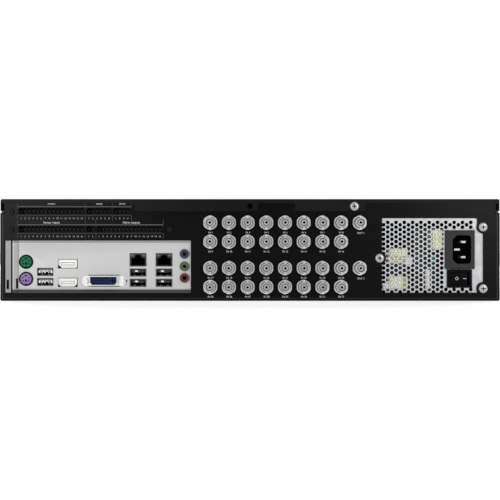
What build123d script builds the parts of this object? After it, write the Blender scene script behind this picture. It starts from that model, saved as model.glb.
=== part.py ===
from build123d import *
import os
from math import cos, radians, sin, sqrt

# A rack-mounted digital video recorder, two rack units high, built round a small computer board.
# Millimetres, +Z up. The connector side (the rear) faces -Y and the service side (the front,
# with rack ears, handles and filter door) faces +Y. The origin is the middle of the underside.

# ---------------------------------------------------------------- driving dimensions
CHASSIS_W = 432.0        # over the side walls
CHASSIS_H = 88.0         # two rack units less their gap
CHASSIS_D = 410.0        # rear panel's outer face to front panel's outer face
FRONT_W = 482.6          # over the rack ears
SHEET = 1.2              # steel of the tray and the rear panel
FRONT_SHEET = 2.0
LID_SHEET = 1.0
BOARD = 1.6              # printed circuit board
BNC_PROUD = 13.0         # how far the video sockets stand out of the rear panel
HANDLE_PROUD = 36.0      # how far the handles stand out of the front panel
FIT = 0.05               # radial clearance of a pivot in its bore
LOOSE = 0.25             # clearance of a button or socket in its hole

HALF_W = CHASSIS_W / 2
REAR = BNC_PROUD - (BNC_PROUD + CHASSIS_D + HANDLE_PROUD) / 2
FRONT = REAR + CHASSIS_D
FRONT_BACK = FRONT - FRONT_SHEET

# side walls step inwards near the top, where the lid's skirt comes down outside them
STEP_Z = 75.9
STEP_IN = 3.2
WALL_TOP = 86.4
LID_HALF_W = 215.5
SKIRT_Z = 77.8

# rear panel: computer board's aperture, video sockets, terminal headers and power supply
SHIELD_X = (-205.3, -51.3)
SHIELD_Z = (7.1, 52.1)
STRIP_X = (-211.5, -206.7)
BNC_X0 = -34.3
BNC_PITCH = 16.13
BNC_ROWS = ((67.6, 9), (51.2, 8), (28.4, 9), (12.1, 8))        # height of a row, sockets in it
POLE = 3.5                                                      # pitch of the terminal pins
HEADER_H = 6.2
UPPER_HEADERS = (77.6, ((-200.4, 16), (-141.7, 6), (-118.5, 4)))
LOWER_HEADERS = (62.0, ((-200.4, 16), (-141.9, 2), (-132.9, 16)))
PSU_X = (108.0, 208.0)
PSU_Z = (3.9, 73.9)
PSU_D = 190.0
PSU_WINDOW_X = (114.2, 201.6)
PSU_WINDOW_Z = (7.1, 71.5)
PSU_SCREWS = ((201.5, 63.9), (201.5, 10.7), (112.1, 37.0))
LID_SCREW = (90.2, 81.7)
LID_SPARE_HOLE = (0.0, 82.0)
TERMINAL_SCREWS = ((-206.3, 77.2), (-206.3, 61.6), (-69.2, 61.6))
SIDE_SCREW_DEPTHS = (60.0, 340.0)

# computer board and its sockets: middle x, low and high z of each opening in the shield
BOARD_Z = 10.8                                                  # component side
SHIELD_FACE = 2.0                                               # depth of the shield's face
PORT_DEPTH = 2.7                                                # sockets start behind the shield
ROUND_X = -194.0
ROUND_R = 6.1
MOUSE_Z = 33.8
KEYBOARD_Z = 19.0
USB_W = 14.2
USB_PAIR_X = -177.5
USB_PAIR_Z = ((21.4, 28.6), (12.8, 19.8))
DISPLAY_X = -157.9
DISPLAY_W = 17.2
DISPLAY_UPPER_Z = (28.0, 36.2)
DISPLAY_LOWER_Z = (11.9, 19.9)
MONITOR_X = -126.4
MONITOR_Z = 17.4
MONITOR_W = 37.9
JACK_SCREW_X = 15.9
STACK_X = (-97.0, -74.5)
STACK_USB_Z = ((20.9, 28.0), (11.9, 19.2))
STACK_NET_Z = (29.7, 41.3)
STACK_W = 14.7
AUDIO_X = -56.7
AUDIO_Z = (40.6, 29.8, 19.8)
AUDIO_R = 4.2

# power supply's rear face
HOLE_PITCH = 4.15
HOLE_R = 1.65
HOLE_X0 = 115.7
HOLE_TOP = 67.9
INLET_X, INLET_Z = 181.4, 44.4
INLET_W, INLET_H = 25.5, 33.4
SOCKET_X = 182.9
SWITCH_X, SWITCH_Z = 181.1, 19.3
SWITCH_W, SWITCH_H = 21.4, 15.9
ROCKER_DEPTH = 2.5
ROCKER_TILT = 10.0

# fans, drives and front panel
FAN = 80.0
FAN_DEPTH = 25.0
FAN_X = (-125.0, -35.0)
FAN_Z = 43.5
FAN_WALL = 205.0                                                # depth of the fan bracket
PSU_FAN = 60.0
FAN_BOLT = 0.447                                                # bolt holes, of the fan's width
DRIVE_X = (-110.0, -1.0)
DRIVE_Z = (5.0, 36.0)
DRIVE = (101.6, 147.0, 26.1)
DRIVE_DEPTH = 248.0                                             # where the drives start
CAGE_TOP = 64.0
OPTICAL_X = (74.0, 202.0)
OPTICAL_Z = (60.4, 73.1)
OPTICAL_D = 127.0
SLOT_X = 232.55                                                 # rack slots, 465.1 apart
SLOT_RISE = 38.1                                                # rack slots, 76.2 apart
SLOT_W, SLOT_L = 6.8, 10.3
HANDLE_X = 220.0
HANDLE_Z = (14.0, 74.0)
HANDLE_R = 4.0
DOOR_X = (-200.5, 62.0)
DOOR_Z = (10.0, 78.0)
DOOR_BACK = 1.5                                                 # gap behind the door
DOOR_FACE = 12.5
HINGE_X, HINGE_OUT, HINGE_R = -195.0, 7.0, 2.0
LOCK_X, LOCK_Z, LOCK_R = 48.0, 44.0, 5.0
BUTTON_Z = 32.0
POWER_X, POWER_R, POWER_FLANGE = 100.0, 7.0, 8.6
RESET_X, RESET_R, RESET_FLANGE = 120.0, 2.0, 3.2
LIGHT_XS, LIGHT_R = (134.0, 144.0, 154.0), 1.5
FRONT_USB_X, FRONT_USB_ZS = 180.0, (25.0, 39.0)
EJECT_X, EJECT_Z = 190.0, 66.7


# ---------------------------------------------------------------- helpers
def rear(depth):
    """The y of a plane that lies this deep behind the rear panel's outer face."""
    return REAR + depth


def block(x, y, z):
    """A box that spans three (low, high) pairs."""
    middle = [(low + high) / 2 for low, high in (x, y, z)]
    return Pos(*middle) * Box(x[1] - x[0], y[1] - y[0], z[1] - z[0])


def slab(profile, y0, y1):
    """A profile drawn in X and Z, extruded from y0 to y1."""
    plane = Plane(origin=(0, y1, 0), x_dir=(1, 0, 0), z_dir=(0, -1, 0))
    return extrude(plane * profile, amount=y1 - y0)


def window(x, z):
    """A rectangle that spans two (low, high) pairs, drawn in X and Z."""
    return Pos((x[0] + x[1]) / 2, (z[0] + z[1]) / 2) * Rectangle(x[1] - x[0], z[1] - z[0])


def disc(x, z, r):
    """A circle drawn in X and Z."""
    return Pos(x, z) * Circle(r)


def rod(x, z, r, y0, y1):
    """A round bar along Y."""
    return slab(disc(x, z, r), y0, y1)


def tube(x, z, outer, inner, y0, y1):
    """A round tube along Y."""
    return slab(disc(x, z, outer) - disc(x, z, inner), y0, y1)


def post(x, y, r, z0, z1):
    """A round bar along Z."""
    return Pos(x, y, (z0 + z1) / 2) * Cylinder(r, z1 - z0)


def span(middle, width):
    """The (low, high) pair of a width about its middle."""
    return (middle - width / 2, middle + width / 2)


def shrink(pair, by):
    """A (low, high) pair drawn in at both ends."""
    return (pair[0] + by, pair[1] - by)


def save(name, *shapes):
    """Writes one sub-part, which may be several separate solids."""
    solids = [solid for shape in shapes for solid in shape.solids()]
    export_step(solids[0] if len(solids) == 1 else Compound(solids), f"parts/{name}.step")


def bnc_spots(*rows):
    """Where the video sockets of these rows are, as (x, z)."""
    return [(BNC_X0 + BNC_PITCH * i, BNC_ROWS[row][0]) for row in rows for i in range(BNC_ROWS[row][1])]


def header_spans(headers):
    """The (low, high) x of each terminal header in a row."""
    return [(x, x + poles * POLE + 1.2) for x, poles in headers[1]]


# ---------------------------------------------------------------- casing
def base_tray():
    """Floor and side walls, folded from one sheet, with slots in both walls."""
    half = HALF_W - SHEET / 2
    inner = half - STEP_IN
    right = [(half, SHEET / 2), (half, STEP_Z), (inner, STEP_Z), (inner, WALL_TOP)]
    left = [(-x, z) for x, z in reversed(right)]
    fold = FilletPolyline(*left, *right, radius=[0.9, 0.9, 1.0, 1.0, 0.9, 0.9])
    tray = slab(trace(fold, line_width=SHEET), REAR, FRONT_BACK)
    slots = [
        block(span(side * HALF_W, 8), span(rear(250 + 9 * i), 4), (18, 62))
        for side in (-1, 1)
        for i in range(15)
    ]
    screws = [
        Pos(side * HALF_W, rear(depth), LID_SPARE_HOLE[1]) * Rot(0, 90, 0) * Cylinder(1.5, 12)
        for side in (-1, 1)
        for depth in SIDE_SCREW_DEPTHS
    ]
    return tray - slots - screws


def psu_window():
    """The power supply's cut-out, with the ears that its screws go through left in it."""
    ears = [disc(x, z, 5.6) for x, z in PSU_SCREWS]
    corner_x = (PSU_SCREWS[0][0] - 5.0, PSU_WINDOW_X[1] + 1)
    corners = [
        window(corner_x, (PSU_SCREWS[0][1], PSU_WINDOW_Z[1] + 1)),
        window(corner_x, (PSU_WINDOW_Z[0] - 1, PSU_SCREWS[1][1])),
    ]
    return window(PSU_WINDOW_X, PSU_WINDOW_Z) - ears - corners


def rear_panel():
    """The connector panel, with flanges turned inwards for the lid, the floor and the walls."""
    low = window((-214.6, 214.6), (1.4, 75.1))
    high = window((-211.4, 211.4), (75.0, 86.8))
    aperture = window((STRIP_X[0] - 0.2, SHIELD_X[1] + 0.3), (SHIELD_Z[0] - 0.2, SHIELD_Z[1] + 0.2))
    headers = [
        window((x0 - 0.15, x1 + 0.15), span(row[0], HEADER_H + 0.3))
        for row in (UPPER_HEADERS, LOWER_HEADERS)
        for x0, x1 in header_spans(row)
    ]
    sockets = [disc(x, z, 4.9) for x, z in bnc_spots(0, 1, 2, 3)]
    screws = [disc(x, z, 1.75) for x, z in (*PSU_SCREWS, *TERMINAL_SCREWS, LID_SCREW, LID_SPARE_HOLE)]
    face = low + high - aperture - headers - sockets - screws - psu_window()
    flange_y = (REAR, rear(14))
    return (
        slab(face, REAR, rear(SHEET))
        + block((-205, 205), flange_y, (85.6, 86.8))
        + block((-205, 205), flange_y, (1.4, 2.6))
        + block((-214.6, -213.4), flange_y, (4, 74))
        + block((213.4, 214.6), flange_y, (4, 74))
    )


def top_cover():
    """The lid, with side skirts, and a rear lip whose two tabs hang over the rear panel."""
    half = LID_HALF_W - LID_SHEET / 2
    top = CHASSIS_H - LID_SHEET / 2
    fold = FilletPolyline((-half, SKIRT_Z), (-half, top), (half, top), (half, SKIRT_Z), radius=1.2)
    lip_y = (REAR - 1.2, REAR - 0.2)
    lid = slab(trace(fold, line_width=LID_SHEET), lip_y[0], FRONT_BACK - 0.2)
    lip = (
        window((-LID_HALF_W + 0.2, LID_HALF_W - 0.2), (84.4, top))
        + window((-99.7, 7.0), (77.4, 86))
        + window((38.5, 99.6), (77.6, 86))
    )
    lip -= [disc(*LID_SCREW, 1.9), disc(*LID_SPARE_HOLE, 3.0)]
    holes = [
        Pos(side * LID_HALF_W, rear(depth), LID_SPARE_HOLE[1]) * Rot(0, 90, 0) * Cylinder(1.9, 12)
        for side in (-1, 1)
        for depth in SIDE_SCREW_DEPTHS
    ]
    return lid - holes + slab(lip, *lip_y)


def hinge_lugs():
    """The two bored lugs on the front panel that carry the door's pivots."""
    outline = Pos(HINGE_X, HINGE_OUT / 2) * Rectangle(10, HINGE_OUT) + Pos(HINGE_X, HINGE_OUT) * Circle(5)
    outline -= Pos(HINGE_X, HINGE_OUT) * Circle(HINGE_R + FIT)
    return [
        Pos(0, FRONT, z) * extrude(outline, amount=5)
        for z in (DOOR_Z[0] - 5.5, DOOR_Z[1] + 0.5)
    ]


def switch_cups():
    """The closed cups behind the panel that hold the two buttons' switches."""
    y0 = FRONT_BACK - 8
    cups = []
    for x, flange in ((POWER_X, POWER_FLANGE), (RESET_X, RESET_FLANGE)):
        inner = flange + LOOSE
        wall = tube(x, BUTTON_Z, inner + 1, inner, y0, FRONT_BACK)
        cups.append(wall + rod(x, BUTTON_Z, inner + 1, y0 - 1, y0))
    return cups


def front_panel():
    """The rack panel, with its ears, air slots, hinge lugs, lock keeper and control openings."""
    face = window(span(0, FRONT_W), (0.1, CHASSIS_H))
    ears = [
        Pos(side * SLOT_X, 44.05 + rise) * SlotOverall(SLOT_L, SLOT_W)
        for side in (-1, 1)
        for rise in (-SLOT_RISE, SLOT_RISE)
    ]
    air = [window(span(-172 + 11 * i, 5), (16, 72)) for i in range(20)]
    round_holes = [disc(POWER_X, BUTTON_Z, POWER_R + LOOSE), disc(RESET_X, BUTTON_Z, RESET_R + LOOSE)]
    round_holes += [disc(x, BUTTON_Z, LIGHT_R + 0.1) for x in LIGHT_XS]
    round_holes += [disc(side * HANDLE_X, z, 2.2) for side in (-1, 1) for z in HANDLE_Z]
    openings = [window(shrink(OPTICAL_X, -0.3), shrink(OPTICAL_Z, -0.1))]
    openings += [window(span(FRONT_USB_X, 13.8), span(z, 6.4)) for z in FRONT_USB_ZS]
    panel = slab(face - ears - air - round_holes - openings, FRONT_BACK, FRONT)
    keeper = block((58.5, 60.0), (FRONT, FRONT + 7.2), (38, 50))
    keeper += block((54.0, 60.0), (FRONT + 6.0, FRONT + 7.2), (38, 50))
    return panel + hinge_lugs() + keeper + switch_cups()


def fan_bracket():
    """The wall across the middle that holds the two case fans."""
    bolt = FAN * FAN_BOLT
    face = window((-175, 15), (SHEET, 85.5)) - [disc(x, FAN_Z, FAN / 2 - 1.8) for x in FAN_X]
    face -= [disc(x + dx, FAN_Z + dz, 2) for x in FAN_X for dx in (-bolt, bolt) for dz in (-bolt, bolt)]
    y = rear(FAN_WALL)
    foot = block((-175, 15), (y - 15, y + SHEET), (SHEET, 2 * SHEET))
    return slab(face, y, y + SHEET) + foot


def drive_cage():
    """Upright sheets beside each stack of drives, a roof over both, and the optical drive's shelf."""
    y = (rear(DRIVE_DEPTH), rear(DRIVE_DEPTH + DRIVE[1] + 1))
    side = DRIVE[0] / 2 + 0.3
    walls = [block(span(x + s * (side + 0.5), 1.0), y, (SHEET, CAGE_TOP)) for x in DRIVE_X for s in (-1, 1)]
    roof_x = (DRIVE_X[0] - side - 1, DRIVE_X[1] + side + 1)
    roof = block(roof_x, y, (CAGE_TOP - 1, CAGE_TOP))
    for middle in DRIVE_X:
        roof -= [block(span(middle + 22 * i, 12), shrink(y, 20), (60, 70)) for i in (-1, 0, 1)]
    shelf_y = (rear(272), rear(404))
    shelf_top = OPTICAL_Z[0] - 0.1
    shelf = block((roof_x[1] - 1, 206.5), shelf_y, (shelf_top - 1, shelf_top))
    leg = block((205.5, 206.5), shelf_y, (SHEET, shelf_top))
    return sum(walls, roof) + shelf + leg


# ---------------------------------------------------------------- fasteners
def screw(x, z, head_y, head_r=3.9, shank_r=1.7, length=6.0):
    """A pan-head screw along Y with a cross recess; its head stands out of the plane head_y."""
    head = rod(x, z, head_r, head_y - 2.2, head_y)
    head = fillet(head.edges().sort_by(Axis.Y)[0], 1.1)
    recess = (head_y - 2.3, head_y - 0.9)
    head -= block(span(x, head_r), recess, span(z, 1.0)) + block(span(x, 1.0), recess, span(z, head_r))
    return head + rod(x, z, shank_r, head_y, head_y + length)


def rear_screws():
    """The lid's rear screw and the three that hold the power supply."""
    return [screw(*LID_SCREW, REAR - 1.2), *(screw(x, z, REAR) for x, z in PSU_SCREWS)]


def black_screws():
    """The small black screws of the terminal board and the lid's skirt."""
    small = [screw(x, z, REAR, head_r=2.6, shank_r=1.4, length=11.5) for x, z in TERMINAL_SCREWS]
    side = screw(0, 0, 0, head_r=3.0, shank_r=1.4, length=4.0)
    turned = [
        Pos(s * LID_HALF_W, rear(depth), LID_SPARE_HOLE[1]) * Rot(0, 0, s * 90) * side
        for s in (-1, 1)
        for depth in SIDE_SCREW_DEPTHS
    ]
    return small + turned


# ---------------------------------------------------------------- terminal headers
def terminal_board():
    board = block((-209.5, -66.5), (rear(10.5), rear(10.5 + BOARD)), (55.5, 83.5))
    return board - [rod(x, z, 1.6, REAR, rear(20)) for x, z in TERMINAL_SCREWS]


def terminal_headers(row):
    """The open-fronted housings of one row, with a keyed rib between the poles."""
    shells = []
    for (x0, x1), (_, poles) in zip(header_spans(row), row[1]):
        shell = block((x0, x1), (rear(-0.6), rear(10.4)), span(row[0], HEADER_H))
        shell -= block((x0 + 0.7, x1 - 0.7), (rear(-1), rear(8.5)), span(row[0], HEADER_H - 1.6))
        shell -= [
            block(span(x0 + 0.6 + POLE * (i + 0.5), 1.6), (rear(-1), rear(6)), span(row[0] + 2.6, 1.2))
            for i in range(poles)
        ]
        shells.append(shell)
    return shells


def terminal_pins():
    """One square pin for each pole."""
    return [
        block(span(x0 + 0.6 + POLE * (i + 0.5), 0.9), (rear(1.2), rear(8.5)), span(row[0] - 0.4, 0.9))
        for row in (UPPER_HEADERS, LOWER_HEADERS)
        for x0, poles in row[1]
        for i in range(poles)
    ]


# ---------------------------------------------------------------- video sockets
def bnc_board():
    board = block((-41, 104), (rear(7.6), rear(7.6 + BOARD)), (4.5, 80))
    board -= [rod(x, z, 1.5, REAR, rear(20)) for x, z in bnc_spots(0, 1, 2, 3)]
    headers = [block(span(x, 50), (rear(7.6 + BOARD), rear(13)), (57, 65)) for x in (-5, 60)]
    return [board, *headers]


def bnc_shell():
    """A bulkhead video jack about the origin: threaded neck, barrel, two bayonet lugs and rear body."""
    body = rod(0, 0, 4.75, -BNC_PROUD, 3) - rod(0, 0, 4.05, -BNC_PROUD - 1, -4)
    body = chamfer(body.edges().group_by(Axis.Y)[0], 0.25)
    body += rod(0, 0, 5.4, 1.3, 2.6) + block((-5, 5), (2.6, 7.5), (-5, 5))
    lugs = [rod(0, 0, 0.95, -5.55, 5.55)]
    lugs = [Pos(0, -9.4, 0) * Rot(90, 0, 0) * lug - rod(0, 0, 4.4, -BNC_PROUD, 0) for lug in lugs]
    return body + lugs - rod(0, 0, 1.4, -10, 8)


def bnc_shells(*rows):
    shell = bnc_shell()
    return [Pos(x, REAR, z) * shell for x, z in bnc_spots(*rows)]


def bnc_nuts():
    """Hexagonal nuts with turned corners, one on each video jack's neck."""
    profile = RegularPolygon(5.95, 6, major_radius=False, rotation=30) & Circle(6.2)
    nut = slab(profile - Circle(4.85), REAR - 2.4, REAR)
    return [Pos(x, 0, z) * nut for x, z in bnc_spots(0, 1, 2, 3)]


def bnc_insulators():
    """The dielectric in each jack: a base disc and the sleeve round the centre contact."""
    part = tube(0, 0, 3.95, 1.35, rear(-4.9), rear(-4.0)) + tube(0, 0, 2.6, 1.35, rear(-10.8), rear(-4.0))
    return [Pos(x, 0, z) * part for x, z in bnc_spots(0, 1, 2, 3)]


def bnc_contacts():
    """The hollow centre contact of each jack, which reaches back through the board."""
    part = tube(0, 0, 1.3, 1.0, rear(-11.2), rear(-5)) + rod(0, 0, 1.3, rear(-5), rear(11))
    return [Pos(x, 0, z) * part for x, z in bnc_spots(0, 1, 2, 3)]


# ---------------------------------------------------------------- computer board
BOARD_X = (-211.3, -42.0)
BOARD_Y = (rear(4.0), rear(174.0))
BOARD_HOLES = [(x, y) for x in (-204.9, -49.0) for y in (rear(38), rear(166))]
CARD_HOLES = [(x, y) for x in (-32, 92) for y in (rear(36), rear(184))]
CARD_Z = 42.0


def motherboard():
    board = block(BOARD_X, BOARD_Y, (BOARD_Z - BOARD, BOARD_Z))
    return board - [post(x, y, 1.9, 0, 20) for x, y in BOARD_HOLES]


def board_components():
    """Chips, slots and capacitors that stand on the computer board."""
    z = BOARD_Z
    chips = [
        block((-105, -75), (rear(110), rear(140)), (z, z + 5)),
        block((-190, -182), (rear(60), rear(150)), (z, z + 11)),
        block((-66, -44), (rear(160), rear(172)), (z, z + 12)),
        block((-170, -120), (rear(158), rear(170)), (z, z + 9)),
        block((-112, -92), (rear(45), rear(60)), (z, z + 2)),
    ]
    sockets = [block(span(x, 5), (rear(30), rear(155)), (z, z + 6)) for x in (-64, -54)]
    caps = [post(-176 + 10 * i, rear(34), 4, z, z + 12) for i in range(6)]
    return chips + sockets + caps


def memory_modules():
    """Two upright memory boards in their sockets."""
    return [block(span(x, 1.2), (rear(34), rear(151)), (BOARD_Z + 6, BOARD_Z + 34)) for x in (-64, -54)]


def cpu_heatsink():
    """A finned block on the processor, cooled by the case fans."""
    base = block((-166, -106), (rear(66), rear(106)), (BOARD_Z, BOARD_Z + 8))
    fins = [block(span(-164.5 + 4.75 * i, 1.4), (rear(66), rear(106)), (BOARD_Z + 8, 44)) for i in range(13)]
    return sum(fins, base)


def board_standoffs():
    """Hexagonal pillars under the computer board and tall ones under the capture card."""
    short = Pos(0, 0, SHEET) * extrude(RegularPolygon(3, 6), amount=BOARD_Z - BOARD - SHEET)
    tall = Pos(0, 0, SHEET) * extrude(RegularPolygon(3, 6), amount=CARD_Z - SHEET)
    return [Pos(x, y) * short for x, y in BOARD_HOLES] + [Pos(x, y) * tall for x, y in CARD_HOLES]


def capture_card():
    """The video capture card: board, eight decoder chips, two ribbon headers and a finned chip."""
    board = block((-38, 98), (rear(30), rear(190)), (CARD_Z, CARD_Z + BOARD))
    top = CARD_Z + BOARD
    chips = [
        block(span(-18 + 32 * i, 14), span(rear(82 + 26 * j), 14), (top, top + 2))
        for i in range(4)
        for j in range(2)
    ]
    headers = [block(span(x, 50), (rear(48), rear(56)), (top, top + 4)) for x in (-5, 60)]
    sink = block((12, 48), (rear(138), rear(174)), (top, top + 4))
    sink += [block(span(14 + 4 * i, 1.4), (rear(138), rear(174)), (top + 4, top + 16)) for i in range(9)]
    return [board, *chips, *headers, sink]


def ribbon_cables():
    """Two flat cables from the video sockets' board to the capture card."""
    top = CARD_Z + BOARD + 4
    points = [(rear(13), 61), (rear(38), 61), (rear(52), 57), (rear(52), top)]
    path = FilletPolyline(*points, radius=[18, 5.5])
    profile = trace(path, line_width=1.0)
    plane = Plane(origin=(0, 0, 0), x_dir=(0, 1, 0), z_dir=(1, 0, 0))
    return [Pos(x - 24, 0, 0) * extrude(plane * profile, amount=48) for x in (-5, 60)]


# ---------------------------------------------------------------- input and output shield
def rectangle_at(x, z, depth):
    """A rectangle in X and Z that faces the rear, this deep behind the panel."""
    plane = Plane(origin=(0, rear(depth), 0), x_dir=(1, 0, 0), z_dir=(0, -1, 0))
    return plane * window(x, z)


def io_shield():
    """A thin pressed pan: sloping rim, recessed face, and an opening for each socket."""
    face_x, face_z = (-200.2, -51.9), (9.4, 49.2)
    outer = loft([rectangle_at(SHIELD_X, SHIELD_Z, 0.1), rectangle_at(face_x, face_z, SHIELD_FACE + 0.6)])
    inner = loft(
        [
            rectangle_at(shrink(SHIELD_X, 0.45), shrink(SHIELD_Z, 0.6), 0.0),
            rectangle_at(shrink(face_x, 0.2), shrink(face_z, 0.6), SHIELD_FACE),
        ]
    )
    holes = [disc(ROUND_X, z, ROUND_R + 0.15) for z in (MOUSE_Z, KEYBOARD_Z)]
    holes += [disc(AUDIO_X, z, AUDIO_R + 0.12) for z in AUDIO_Z]
    holes += [window(span(USB_PAIR_X, USB_W), z) for z in USB_PAIR_Z]
    holes += [window(span(DISPLAY_X, DISPLAY_W), z) for z in (DISPLAY_UPPER_Z, DISPLAY_LOWER_Z)]
    holes += [window(span(x, STACK_W), z) for x in STACK_X for z in (*STACK_USB_Z, STACK_NET_Z)]
    holes.append(window(span(MONITOR_X, 27.5), span(MONITOR_Z, 10.2)))
    holes += [disc(MONITOR_X + s * JACK_SCREW_X, MONITOR_Z, 1.8) for s in (-1, 1)]
    holes.append(disc(MONITOR_X + 19.4, MONITOR_Z - 0.3, 0.75))
    slot = window((-202.6, -200.9), (10.6, 19.4))
    return outer - inner - [slab(hole, rear(-1), rear(4)) for hole in (*holes, slot)]


def shield_side_strip():
    """The bright earthing strip between the shield and the side wall, with a slot near its foot."""
    strip = block(STRIP_X, (rear(0.1), rear(0.7)), SHIELD_Z)
    strip += block((STRIP_X[0], STRIP_X[0] + 0.6), (rear(0.1), rear(3.8)), SHIELD_Z)
    slot = block((STRIP_X[0] + 1.0, STRIP_X[0] + 3.0), (rear(-1), rear(2)), (10.2, 18.2))
    return strip - slot


# ---------------------------------------------------------------- sockets on the computer board
def round_port(z):
    """A six-pin round socket: coloured face, groove for the plug's collar, pin holes and keyway."""
    body = rod(ROUND_X, z, ROUND_R, rear(1.2), rear(15)) + block(
        span(ROUND_X, 13), (rear(PORT_DEPTH), rear(15)), (z - 7.2, z + 6.4)
    )
    groove = tube(ROUND_X, z, 5.8, 5.1, rear(0), rear(8))
    pins = [
        rod(ROUND_X + 2.9 * cos(radians(a)), z + 2.9 * sin(radians(a)), 0.6, rear(0), rear(8))
        for a in (20, 75, 105, 160, 215, 325)
    ]
    key = block(span(ROUND_X, 1.4), (rear(0), rear(8)), (z - 2.6, z - 0.4))
    notch = block(span(ROUND_X, 2.2), (rear(0), rear(8)), (z - 5.2, z - 4.3))
    return body - groove - pins - key - notch


def usb_cut(x, z, y0, y1):
    """The space inside a flat USB-style socket: its mouth less the tongue."""
    mouth = block(span(x, 12.5), (y0, y1), span(z, 5.2))
    return mouth - block(span(x, 11.2), (y0 + 1.2, y1), (z + 0.3, z + 2.1))


def usb_port_pair():
    body = block(span(USB_PAIR_X, 15.2), (rear(PORT_DEPTH), rear(20)), (BOARD_Z, 29.6))
    return body - [usb_cut(USB_PAIR_X, sum(z) / 2, rear(PORT_DEPTH), rear(16)) for z in USB_PAIR_Z]


def display_port(z, foot, cut_left, cut_right):
    """A flat display socket in its housing; the mouth's lower corners are cut away."""
    low, high = z[0] + 1.1, z[1] - 1.1
    half = 7.4
    mouth = Polygon(
        (-half, high), (-half, low + cut_left), (-half + cut_left, low),
        (half - cut_right, low), (half, low + cut_right), (half, high), align=None,
    )
    body = block(span(DISPLAY_X, 16.6), (rear(PORT_DEPTH), rear(19)), (foot, z[1] + 0.4))
    collar = slab(Pos(DISPLAY_X, 0) * offset(mouth, 0.6, kind=Kind.INTERSECTION), rear(1.0), rear(PORT_DEPTH))
    hollow = slab(Pos(DISPLAY_X, 0) * mouth, rear(0), rear(13))
    tongue = block(span(DISPLAY_X, 10.6), (rear(2.2), rear(13)), span((low + high) / 2, 1.8))
    return body + collar - (hollow - tongue)


def monitor_outline(width, height):
    """The wide socket's outline, with its two lower corners cut away."""
    x, z, cut = width / 2, height / 2, 1.9
    outline = Polygon((-x, z), (-x, cut - z), (cut - x, -z), (x - cut, -z), (x, cut - z), (x, z), align=None)
    return Pos(MONITOR_X, MONITOR_Z) * outline


def monitor_port_shell():
    """The flanged metal shell of the wide monitor socket, and its two hexagonal jack screws."""
    flange = window(span(MONITOR_X, MONITOR_W), span(MONITOR_Z, 8.8)) - monitor_outline(23.8, 7.9)
    plate = slab(flange, rear(1.0), rear(SHIELD_FACE - 0.05))
    corners = plate.edges().filter_by(Axis.Y).filter_by(lambda e: abs(e.center().X - MONITOR_X) > 18)
    plate = chamfer(corners, 2.4)
    plate -= [rod(MONITOR_X + s * JACK_SCREW_X, MONITOR_Z, 1.55, rear(0), rear(3)) for s in (-1, 1)]
    neck = monitor_outline(24.0, 8.1) - monitor_outline(23.0, 7.1)
    hexagon = slab(RegularPolygon(2.5, 6) - Circle(1.1), rear(-3.4), rear(1.0))
    hexagon += tube(0, 0, 1.5, 1.1, rear(1.0), rear(6))
    screws = [Pos(MONITOR_X + s * JACK_SCREW_X, 0, MONITOR_Z) * hexagon for s in (-1, 1)]
    return [plate + slab(neck, rear(-3.6), rear(14)), *screws]


def monitor_port_insert():
    """The blue contact block: three rows of eight holes and a crossed slot."""
    body = slab(monitor_outline(22.8, 6.9), rear(-2.4), rear(14))
    holes = [
        block(span(MONITOR_X - 9.9 + 1.9 * i, 0.9), (rear(-3), rear(4)), span(MONITOR_Z + 2.1 * j, 0.9))
        for i in range(8)
        for j in (-1, 0, 1)
    ]
    cross_x = MONITOR_X + 8.0
    cross = [
        block(span(cross_x, 5.4), (rear(-3), rear(4)), span(MONITOR_Z, 0.6)),
        block(span(cross_x, 0.6), (rear(-3), rear(4)), span(MONITOR_Z, 4.6)),
    ]
    return body - holes - cross


def network_stack(x):
    """A network socket over two USB-style sockets, in one housing."""
    body = block(span(x, 16.2), (rear(PORT_DEPTH), rear(24)), (BOARD_Z, 42.4))
    z = STACK_NET_Z[0]
    jack = block(span(x, 11.8), (rear(2), rear(16)), (z + 1.0, z + 7.4))
    jack += block(span(x, 6.2), (rear(2), rear(16)), (z + 7.4, z + 9.0))
    jack += block(span(x, 3.4), (rear(2), rear(16)), (z + 9.0, z + 10.2))
    return body - jack - [usb_cut(x, sum(pair) / 2, rear(PORT_DEPTH), rear(17)) for pair in STACK_USB_Z]


def audio_jack(z):
    """A round jack: coloured collar in the shield, in front of its square housing."""
    body = rod(AUDIO_X, z, AUDIO_R, rear(0.8), rear(PORT_DEPTH)) + block(
        span(AUDIO_X, 8.6), (rear(PORT_DEPTH), rear(15)), span(z, 9.6)
    )
    return body - tube(AUDIO_X, z, 3.5, 2.7, rear(0), rear(1.6)) - rod(AUDIO_X, z, 1.8, rear(0), rear(14))


# ---------------------------------------------------------------- power supply
def psu_holes():
    """The hexagonal grid of air holes, less those that the inlet and the switch cover."""
    column = HOLE_PITCH * sqrt(3) / 2
    spots = [
        (HOLE_X0 + column * i, HOLE_TOP - (0 if i % 2 else HOLE_PITCH / 2) - HOLE_PITCH * k)
        for i in range(23)
        for k in range(16)
    ]
    near_inlet = 168.0
    above, below = INLET_Z + INLET_H / 2 + 1.8, SWITCH_Z - SWITCH_H / 2 - 1.4
    return [
        (x, z)
        for x, z in spots
        if z > PSU_Z[0] + 2.5 and (x < near_inlet or (x < 192 and (z > above or z < below)))
    ]


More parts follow.
